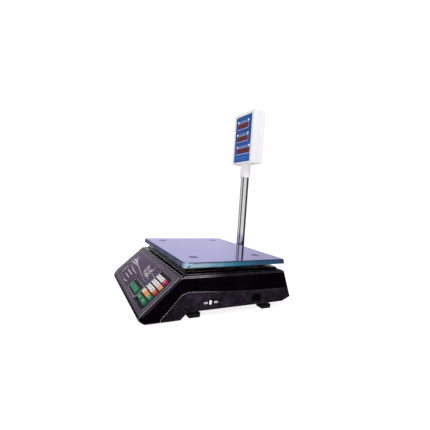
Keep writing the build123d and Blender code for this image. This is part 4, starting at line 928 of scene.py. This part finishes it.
# ------------------------------------- dark gasket between the keys, and its ridge
KG = 0.35
holes = [(u - 6.6 - KG, u + 6.6 + KG, v - 5.4 - KG, v + 5.4 + KG) for u in COLS for v in ROWS]
holes += [(u - 13.8 - KG, u + 13.8 + KG, 24.6 - 5.4 - KG, 24.6 + 5.4 + KG) for u in (97.0, 125.8)]
us = sorted({78.95, 147.05} | {round(h[0], 4) for h in holes} | {round(h[1], 4) for h in holes})
vs = sorted({14.65, 90.35} | {round(h[2], 4) for h in holes} | {round(h[3], 4) for h in holes})
bm = bmesh.new()
plate(bm, PANEL, us, vs, holes, -1.494, -1.40)
finish_mesh(bm, "keypad_gasket", KEYPAD_BLACK, "base")
mem_holes = [(u - 6.6 - KG, u + 6.6 + KG, 26.0 - 7.2 - KG, 26.0 + 7.2 + KG) for u in MEM]
us = sorted({-4.6, 69.6} | {round(h[0], 4) for h in mem_holes} | {round(h[1], 4) for h in mem_holes})
vs = sorted({15.6, 36.4} | {round(h[2], 4) for h in mem_holes} | {round(h[3], 4) for h in mem_holes})
bm = bmesh.new()
plate(bm, PANEL, us, vs, mem_holes, -1.494, -1.40)
finish_mesh(bm, "memory_gasket", KEYPAD_BLACK, "base")
bm = bmesh.new()
# pale bead at the keypad's left: a painted highlight on the frame's edge
bead(bm, PANEL, (77.1, 15.0), (77.1, 90.0), 1.7, 0.6, 1.304)
finish_mesh(bm, "keypad_ridge", RIDGE_HIGHLIGHT, "base", smooth=60)

# ------------------------------------------------- ornament printed on the film
P0, P1 = 0.054, 0.085
bm = bmesh.new()
# long stem with a second, thinner one, crossing leaves at its left end
stroke(bm, PANEL, [(19, 55.0, 0.3), (-8, 56.2, 0.9), (-38, 59.6, 1.2), (-66, 63.0, 1.5), (-92, 61.8, 1.3), (-120, 57.0, 0.3)], P0, P1)
stroke(bm, PANEL, [(-70, 62.6, 0.9), (-92, 67.5, 2.1), (-112, 72.0, 2.6), (-134, 76.0, 0.3)], P0, P1)
stroke(bm, PANEL, [(-86, 62.6, 0.6), (-104, 68.0, 3.2), (-126, 68.4, 3.6), (-147, 67.0, 0.3)], P0, P1)
stroke(bm, PANEL, [(-92, 62.0, 0.6), (-112, 62.6, 2.4), (-131, 59.5, 2.0), (-148, 58.2, 0.3)], P0, P1)
stroke(bm, PANEL, [(-108, 73.0, 0.3), (-116, 78.5, 2.2), (-121, 84.0, 0.3)], P0, P1)
# lower leaf line
stroke(bm, PANEL, [(-31, 47.4, 0.3), (-52, 47.0, 1.5), (-82, 48.0, 1.9), (-96, 50.2, 1.4), (-118, 52.4, 0.3)], P0, P1)
finish_mesh(bm, "print_sprig", INK_PALE, "base")

bm = bmesh.new()
# two small blossoms with open centres
for cx, cy, size, n, turn in ((-3.0, 72.0, 0.86, 6, 0.3), (24.0, 70.0, 1.0, 7, 0.1)):
    for k in range(n):
        a = turn + 2 * math.pi * k / n
        ln = (9.6 + 3.6 * math.sin(k * 2.3 + cx)) * size
        petal(bm, PANEL, cx, cy, a, 3.2 * size, ln, 5.0 * size, P0, P1)
    for k in range(5):
        a = turn + 0.4 + 2 * math.pi * k / 5
        prism(bm, PANEL, disc(cx + 1.7 * size * math.cos(a), cy + 1.7 * size * math.sin(a), 0.42 * size, 10), P0, P1)
finish_mesh(bm, "print_blossoms", INK_MARK, "base")

bm = bmesh.new()
# their loose petals and stamens
stroke(bm, PANEL, [(8, 76.0, 0.5), (0, 81.0, 1.1), (-14, 86.4, 0.3)], P0, P1)
stroke(bm, PANEL, [(31, 77.0, 0.4), (33, 83.6, 1.1), (32.0, 90.0, 0.3)], P0, P1)
stroke(bm, PANEL, [(32, 65.4, 0.5), (43, 61.6, 1.2), (54, 58.0, 0.3)], P0, P1)
stroke(bm, PANEL, [(36, 73.0, 0.4), (47, 73.6, 1.1), (55, 71.6, 0.3)], P0, P1)
stroke(bm, PANEL, [(59, 73.6, 0.4), (63, 72.6, 1.8), (67, 71.4, 0.3)], P0, P1)
stroke(bm, PANEL, [(6, 62.0, 0.3), (20, 59.6, 1.0), (32, 57.0, 0.3)], P0, P1)
finish_mesh(bm, "print_stamens", INK_PALE, "base")

bm = bmesh.new()
stroke(bm, PANEL, [(-12, 67.0, 0.5), (4, 61.2, 1.1), (24, 59.6, 0.9), (40, 56.4, 0.3)], P0, P1)
stroke(bm, PANEL, [(16, 53.4, 0.3), (30, 51.2, 1.2), (46, 51.0, 0.9), (60, 52.4, 0.3)], P0, P1)
stroke(bm, PANEL, [(-152, 64.0, 0.3), (-128, 63.4, 1.2), (-100, 65.6, 0.5)], P0, P1)
stroke(bm, PANEL, [(-150, 80.0, 0.3), (-132, 79.0, 0.9), (-118, 80.5, 0.3)], P0, P1)
# thin frame rules round the memory keys and along the film's foot
ring(bm, PANEL, rrect(-42.6, 53.0, 226.0, 86.4, 3.0, 4), rrect(-42.6, 53.0, 225.0, 85.4, 2.6, 4), P0, P1)
dash(bm, PANEL, -98.0, 17.0, 66.0, 0.7, P0, P1)
finish_mesh(bm, "print_fine_lines", INK_MID, "base")

bm = bmesh.new()
dash(bm, PANEL, -77.5, 37.5, 54.0, 2.3, P0, P1, 1.1)
dash(bm, PANEL, -73.0, 27.5, 43.0, 2.1, P0, P1, 1.0)
stroke(bm, PANEL, [(-72, 15.4, 0.3), (-60, 15.0, 1.5), (-48, 17.6, 1.7), (-34, 18.6, 0.3)], P0, P1)
finish_mesh(bm, "print_bars", INK_PALE, "base")

bm = bmesh.new()
# a pale block of rules at the left, standing for the printed column there
for k in range(7):
    dash(bm, PANEL, -128.0, 23.0 + 3.3 * k, 20.0 - (k % 3) * 3.0, 1.5, P0, P1, 0.7)
finish_mesh(bm, "print_rules", INK_MID, "base")

bm = bmesh.new()
dash(bm, PANEL, 26.0, 46.3, 86.0, 0.9, P0, P1, 0.4)
finish_mesh(bm, "print_dark_rule", INK_DARK, "base")

# ------------------------------------------------------- display head printing
POLE_X = -58.25
HEAD_F = Sheet((0, 147.7, 0), (1, 0, 0), (0, 0, 1))
HEAD_R = Sheet((2 * POLE_X, 186.2, 0), (-1, 0, 0), (0, 0, 1))
WINS = ((-87, -34, 463, 477), (-87, -33, 425.2, 439.4), (-85.5, -20.5, 388, 402.8))
BARS = ((478.6, 486.4), (440.8, 448.6), (404.2, 411.6))
RULES = (460.4, 422.8, 385.4)
for side, sheet in (("front", HEAD_F), ("rear", HEAD_R)):
    white, sky = bmesh.new(), bmesh.new()
    h0, h1 = 0.004, 0.03
    for w, (x0, x1, z0, z1) in enumerate(WINS):
        b0, b1 = BARS[w]
        mid = (b0 + b1) / 2
        hh = b1 - b0
        # generic marks: a solid tablet at each end and a row of plain ticks between them
        dash(white, sheet, x0 - 0.6, mid, 8.2, hh * 0.78, h0, h1, 1.2)
        dash(white, sheet, (-32.5 if w < 2 else -22.5), mid, 8.0 if w < 2 else 9.6, hh * 0.78, h0, h1, 1.2)
        n = 9 if w < 2 else 10
        xa, xb = x0 + 6.6, (-39.5 if w < 2 else -30.4)
        for k in range(n):
            u = xa + (xb - xa) * (k + 0.5) / n
            tall = hh * (0.62 if k % 3 else 0.34)
            dash(sky, sheet, u, mid - 0.2, (xb - xa) / n * 0.62, tall, h0, h1, 0.4)
        dash(white, sheet, (x0 + x1) / 2, b0 - 0.55 if b0 - 0.55 > z1 + 0.3 else z1 + 0.5, x1 - x0 + 6.0, 0.7, h0, h1, 0.3)
        # frame rule on the window's open side and the rule below it
        dash(sky, sheet, x1 + 3.0, (z0 + z1) / 2, 1.4, z1 - z0 + 1.0, h0, h1, 0.5)
        dash(white, sheet, (x0 + x1) / 2 - 1.0, RULES[w], x1 - x0 + 11.0, 1.0, h0, h1, 0.4)
    for k in range(5):
        dash(sky, sheet, -80.0 + 9.5 * k, 374.0, 5.6, 1.0, h0, h1, 0.4)
    finish_mesh(white, f"head_{side}_marks_white", INK_WHITE, "display_head")
    finish_mesh(sky, f"head_{side}_marks_blue", INK_SKY, "display_head")

# --------------------------------------------------- seven-segment digit faces
SEG = {"a": ((-1, 2), (1, 2)), "b": ((1, 2), (1, 0)), "c": ((1, 0), (1, -2)), "d": ((-1, -2), (1, -2)),
       "e": ((-1, 0), (-1, -2)), "f": ((-1, 2), (-1, 0)), "g": ((-1, 0), (1, 0))}


def segment(bm, sheet, u, v, sx, sy, key, t, w0, w1):
    (ax, ay), (bx, by) = SEG[key]
    lean = 0.09
    p = Vector((u + ax * sx + lean * ay * sy, v + ay * sy))
    q = Vector((u + bx * sx + lean * by * sy, v + by * sy))
    d = (q - p).normalized()
    nrm = Vector((-d.y, d.x)) * (t / 2)
    gap = d * (0.18 * t)
    half = d * (t / 2)
    p, q = p + gap, q - gap
    prism(bm, sheet, [tuple(p), tuple(p + half - nrm), tuple(q - half - nrm), tuple(q), tuple(q - half + nrm), tuple(p + half + nrm)], w0, w1)


SEG_F = Sheet((0, 151.2, 0), (1, 0, 0), (0, 0, 1))
SEG_R = Sheet((2 * POLE_X, 182.9, 0), (-1, 0, 0), (0, 0, 1))
for side, sheet in (("front", SEG_F), ("rear", SEG_R)):
    bm = bmesh.new()
    for w, (x0, x1, z0, z1) in enumerate(WINS):
        n = 5 if w < 2 else 6
        cz = (z0 + z1) / 2
        for k in range(n):
            u = x0 + 2.0 + (x1 - x0 - 4.0) * (k + 0.5) / n
            for key in SEG:
                segment(bm, sheet, u, cz, 2.5, 2.7, key, 1.0, 0.004, 0.08)
            prism(bm, sheet, disc(u + 3.9, cz - 5.2, 0.55, 12), 0.004, 0.08)
    finish_mesh(bm, f"digit_segments_{side}", SEGMENT, "display_head")

# --------------------------------------------------------- power switch marks
tilt = math.atan2(175.0 - 172.4, 90.0 - 28.0)
SIDE = Sheet((175.0, 0, 28.0), (0, 1, 0), (-math.sin(tilt), 0, math.cos(tilt)))
bm = bmesh.new()
dash(bm, SIDE, -53.4, 4.6, 8.4, 3.8, 0.004, 0.03, 0.7)
dash(bm, SIDE, -31.0, 4.6, 8.4, 3.8, 0.004, 0.03, 0.7)
finish_mesh(bm, "switch_marks", INK_MARK, "base")
bm = bmesh.new()
ring(bm, SIDE, disc(-53.4, 4.6, 1.35, 24), disc(-53.4, 4.6, 0.75, 24), 0.032, 0.045)
dash(bm, SIDE, -31.0, 4.6, 0.7, 2.6, 0.032, 0.045, 0.2)
finish_mesh(bm, "switch_signs", INK_DARK, "base")

# ----------------------------------------------------------- level vial's ring
VIALTOP = Sheet((-138.0, -76.0, 96.5), (1, 0, 0), (0, 1, 0))
bm = bmesh.new()
ring(bm, VIALTOP, disc(0, 0, 3.9, 40), disc(0, 0, 3.4, 40), 0.004, 0.04)
ring(bm, VIALTOP, disc(0, 0, 9.0, 48), disc(0, 0, 7.4, 48), 0.004, 0.06)
finish_mesh(bm, "vial_rings", INK_DARK, "base")
bm = bmesh.new()
bmesh.ops.create_uvsphere(bm, u_segments=28, v_segments=14, radius=2.9 * MM)
for v in bm.verts:
    v.co.z = v.co.z * (0.16 if v.co.z > 0 else 0.05)
    v.co += Vector((-137.4, -75.6, 96.56)) * MM
finish_mesh(bm, "vial_bubble", INK_WHITE, "base", smooth=60)

# ------------------------------------------- loose film at the pan's front corner
def film_scrap():
    """A crumpled flap of film round the pan's front right corner, riding on the pan."""
    bm = bmesh.new()
    lo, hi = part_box("weighing_pan")
    big, roll = 8.0, 3.0
    cx, cy = hi.x / MM - big, lo.y / MM + big
    top = hi.z / MM
    arc = big * math.pi / 2
    nu, nv = 72, 22
    grid = []
    for i in range(nu + 1):
        t = i / nu
        # along the front lip, round the corner, and on along the side lip
        s = -5 + t * 30.0
        if s < 0:
            base, out = (cx + s, cy - big), (0.0, -1.0)
        elif s < arc:
            a = -math.pi / 2 + s / big
            out = (math.cos(a), math.sin(a))
            base = (cx + big * out[0], cy + big * out[1])
        else:
            base, out = (cx + big, cy + s - arc), (1.0, 0.0)
        # the flat part is mitred so that it doesn't cross itself at the corner
        most = 7.4 + max(0.0, -s, s - arc)
        edge = min(t / 0.12, (1 - t) / 0.35, 1.0)
        reach = 0.5 + 4.2 * edge * (0.6 + 0.6 * noise.noise(Vector((s * 0.22, 1.7, 0.3))))
        depth = 9.6 * edge + 0.4
        col = []
        for j in range(nv + 1):
            v = j / nv
            if v < 0.55:
                z = top - depth * (1 - v / 0.55)
                inward = 2.3 * (z - (top - 10.4)) / 10.4
                bend = max(0.0, (z - (top - roll)) / roll)
                inward += roll * (1 - math.sqrt(max(0.0, 1 - bend * bend)))
            else:
                z = top
                inward = 5.3 + reach * (v - 0.55) / 0.45
            inward = min(inward, most)
            crumple = 0.30 + 0.40 * noise.noise(Vector((s * 0.42, v * 7.0, 2.2))) + 0.22 * noise.noise(Vector((s * 1.1, v * 15.0, 5.2)))
            crumple = max(0.10, crumple)
            up = 0.0 if v < 0.40 else min(1.0, (v - 0.40) / 0.18)
            ox = base[0] - out[0] * inward + out[0] * crumple * (1 - up)
            oy = base[1] - out[1] * inward + out[1] * crumple * (1 - up)
            col.append(bm.verts.new(Vector((ox, oy, z + crumple * up)) * MM))
        grid.append(col)
    for i in range(nu):
        for j in range(nv):
            bm.faces.new((grid[i][j], grid[i + 1][j], grid[i + 1][j + 1], grid[i][j + 1]))
    bmesh.ops.recalc_face_normals(bm, faces=bm.faces)
    bmesh.ops.solidify(bm, geom=bm.faces[:], thickness=0.06 * MM)
    return finish_mesh(bm, "pan_film_corner", SCRAP, "pan", smooth=40)


film_scrap()

# --------------------------------------------------------------------- stage
bm = bmesh.new()
bmesh.ops.create_grid(bm, x_segments=2, y_segments=2, size=6.0)
me = bpy.data.meshes.new("floor")
bm.to_mesh(me)
bm.free()
floor = bpy.data.objects.new("floor", me)
SCENE.collection.objects.link(floor)
fm = Mat("floor_paper", Roughness=0.9)
fm.b.inputs["Specular IOR Level"].default_value = 0.1
fm.base(fm.mix(fm.fmap(fm.noise(3.0, 3.0, 0.5), 0.3, 0.7, 0, 1), (0.42, 0.42, 0.42), (0.46, 0.46, 0.46)))
fm.b.inputs["Emission Color"].default_value = (1, 1, 1, 1)
fm.b.inputs["Emission Strength"].default_value = 0.86
me.materials.append(fm.m)
floor.visible_glossy = False

# --------------------------------------------------------------------- world
world = bpy.data.worlds.new("studio")
SCENE.world = world
world.use_nodes = True
wt = world.node_tree
wt.nodes.clear()


def wn(kind):
    return wt.nodes.new(kind)


def wput(sock, v):
    if isinstance(v, bpy.types.NodeSocket):
        wt.links.new(v, sock)
    else:
        sock.default_value = v


def wmath(op, a, b=None):
    n = wn("ShaderNodeMath")
    n.operation = op
    wput(n.inputs[0], a)
    if b is not None:
        wput(n.inputs[1], b)
    return n.outputs[0]


def wstep(v, a, b, c=0.0, d=1.0):
    n = wn("ShaderNodeMapRange")
    n.interpolation_type = "SMOOTHSTEP"
    wput(n.inputs["Value"], v)
    for k, x in (("From Min", a), ("From Max", b), ("To Min", c), ("To Max", d)):
        n.inputs[k].default_value = x
    return n.outputs["Result"]


tc = wn("ShaderNodeTexCoord")
sep = wn("ShaderNodeSeparateXYZ")
wt.links.new(tc.outputs["Generated"], sep.inputs[0])
wx, wy, wz = sep.outputs


def wdot(ax, ay, az=0.0):
    return wmath("ADD", wmath("ADD", wmath("MULTIPLY", wx, ax), wmath("MULTIPLY", wy, ay)), wmath("MULTIPLY", wz, az))


# the studio round the object: white screens behind and in front, dark gaps between them
azim = wmath("ARCTAN2", wy, wx)
turn = wn("ShaderNodeMapRange")
wput(turn.inputs["Value"], azim)
for k, v in (("From Min", -math.pi), ("From Max", math.pi), ("To Min", 0.0), ("To Max", 1.0)):
    turn.inputs[k].default_value = v
screens = wn("ShaderNodeValToRGB")
wt.links.new(turn.outputs["Result"], screens.inputs[0])
SCREENS = ((-180, 0.84), (-173, 0.78), (-167, 0.36), (-160, 0.12), (-150, 0.08), (-141, 0.30), (-126, 0.62), (-94, 0.66),
           (-88, 0.10), (-60, 0.05), (-54, 0.66), (-30, 0.74), (14, 0.76), (26, 0.40), (36, 0.08), (60, 0.04),
           (122, 0.05), (133, 0.56), (143, 0.68), (152, 0.88), (166, 0.87), (180, 0.84))
cr = screens.color_ramp
while len(cr.elements) > 1:
    cr.elements.remove(cr.elements[-1])
for i, (deg, val) in enumerate(SCREENS):
    e = cr.elements[0] if i == 0 else cr.elements.new((deg + 180) / 360)
    e.position = (deg + 180) / 360
    e.color = (val, val, val, 1.0)
grey = wn("ShaderNodeRGBToBW")
wt.links.new(screens.outputs[0], grey.inputs[0])
walls = wmath("MULTIPLY", grey.outputs[0], wstep(wz, 0.42, 0.62, 1.0, 0.35))
above = wstep(wz, 0.60, 0.90, 0.0, 0.50)
low = wstep(wz, -0.15, -0.10, 0.0, 1.0)
light = wmath("MULTIPLY", wmath("ADD", walls, above), low)
light = wmath("MAXIMUM", light, 0.005)
env = wn("ShaderNodeBackground")
wt.links.new(light, env.inputs["Strength"])
env.inputs["Color"].default_value = (0.985, 0.985, 1.0, 1.0)
plain = wn("ShaderNodeBackground")
plain.inputs["Color"].default_value = (1, 1, 1, 1)
plain.inputs["Strength"].default_value = 1.05
lp = wn("ShaderNodeLightPath")
mixw = wn("ShaderNodeMixShader")
wt.links.new(lp.outputs["Is Camera Ray"], mixw.inputs[0])
wt.links.new(env.outputs[0], mixw.inputs[1])
wt.links.new(plain.outputs[0], mixw.inputs[2])
wo = wn("ShaderNodeOutputWorld")
wt.links.new(mixw.outputs[0], wo.inputs["Surface"])


def softbox(name, at, look, size, watts, glossy=False, colour=(1, 1, 1)):
    li = bpy.data.lights.new(name, "AREA")
    li.shape = "RECTANGLE"
    li.size, li.size_y = size
    li.energy = watts
    li.color = colour
    ob = bpy.data.objects.new(name, li)
    SCENE.collection.objects.link(ob)
    ob.location = at
    ob.rotation_euler = (Vector(look) - Vector(at)).to_track_quat("-Z", "Y").to_euler()
    ob.visible_glossy = glossy
    ob.visible_camera = False
    return ob


softbox("key_soft", (1.5, 0.1, 1.7), (0, 0, 0.2), (1.3, 1.3), 24.0)
softbox("front_soft", (0.2, -1.8, 1.3), (0, 0, 0.2), (1.4, 1.2), 9.0)
softbox("top_soft", (-0.2, 0.2, 2.2), (0, 0, 0.1), (1.6, 1.6), 4.0)

# -------------------------------------------------------------------- camera
yaw, pitch, roll = 0.4689446519, -0.0519520699, -0.0664676737
fwd = Vector((-math.cos(yaw) * math.cos(pitch), math.sin(yaw) * math.cos(pitch), math.sin(pitch)))
right = fwd.cross(Vector((0, 0, 1))).normalized()
down = fwd.cross(right)
r2 = right * math.cos(roll) + down * math.sin(roll)
d2 = -right * math.sin(roll) + down * math.cos(roll)
cam_data = bpy.data.cameras.new("camera")
cam_data.sensor_width = 36.0
cam_data.sensor_fit = "HORIZONTAL"
cam_data.lens = 24.343
cam_data.clip_start = 0.01
cam_data.clip_end = 50.0
cam = bpy.data.objects.new("camera", cam_data)
SCENE.collection.objects.link(cam)
rot = Matrix((r2, -d2, -fwd)).transposed().to_4x4()
cam.matrix_world = Matrix.Translation((0.696855, -0.310668, 0.243339)) @ rot
SCENE.camera = cam
SCENE.view_settings.view_transform = "Standard"
SCENE.view_settings.look = "None"
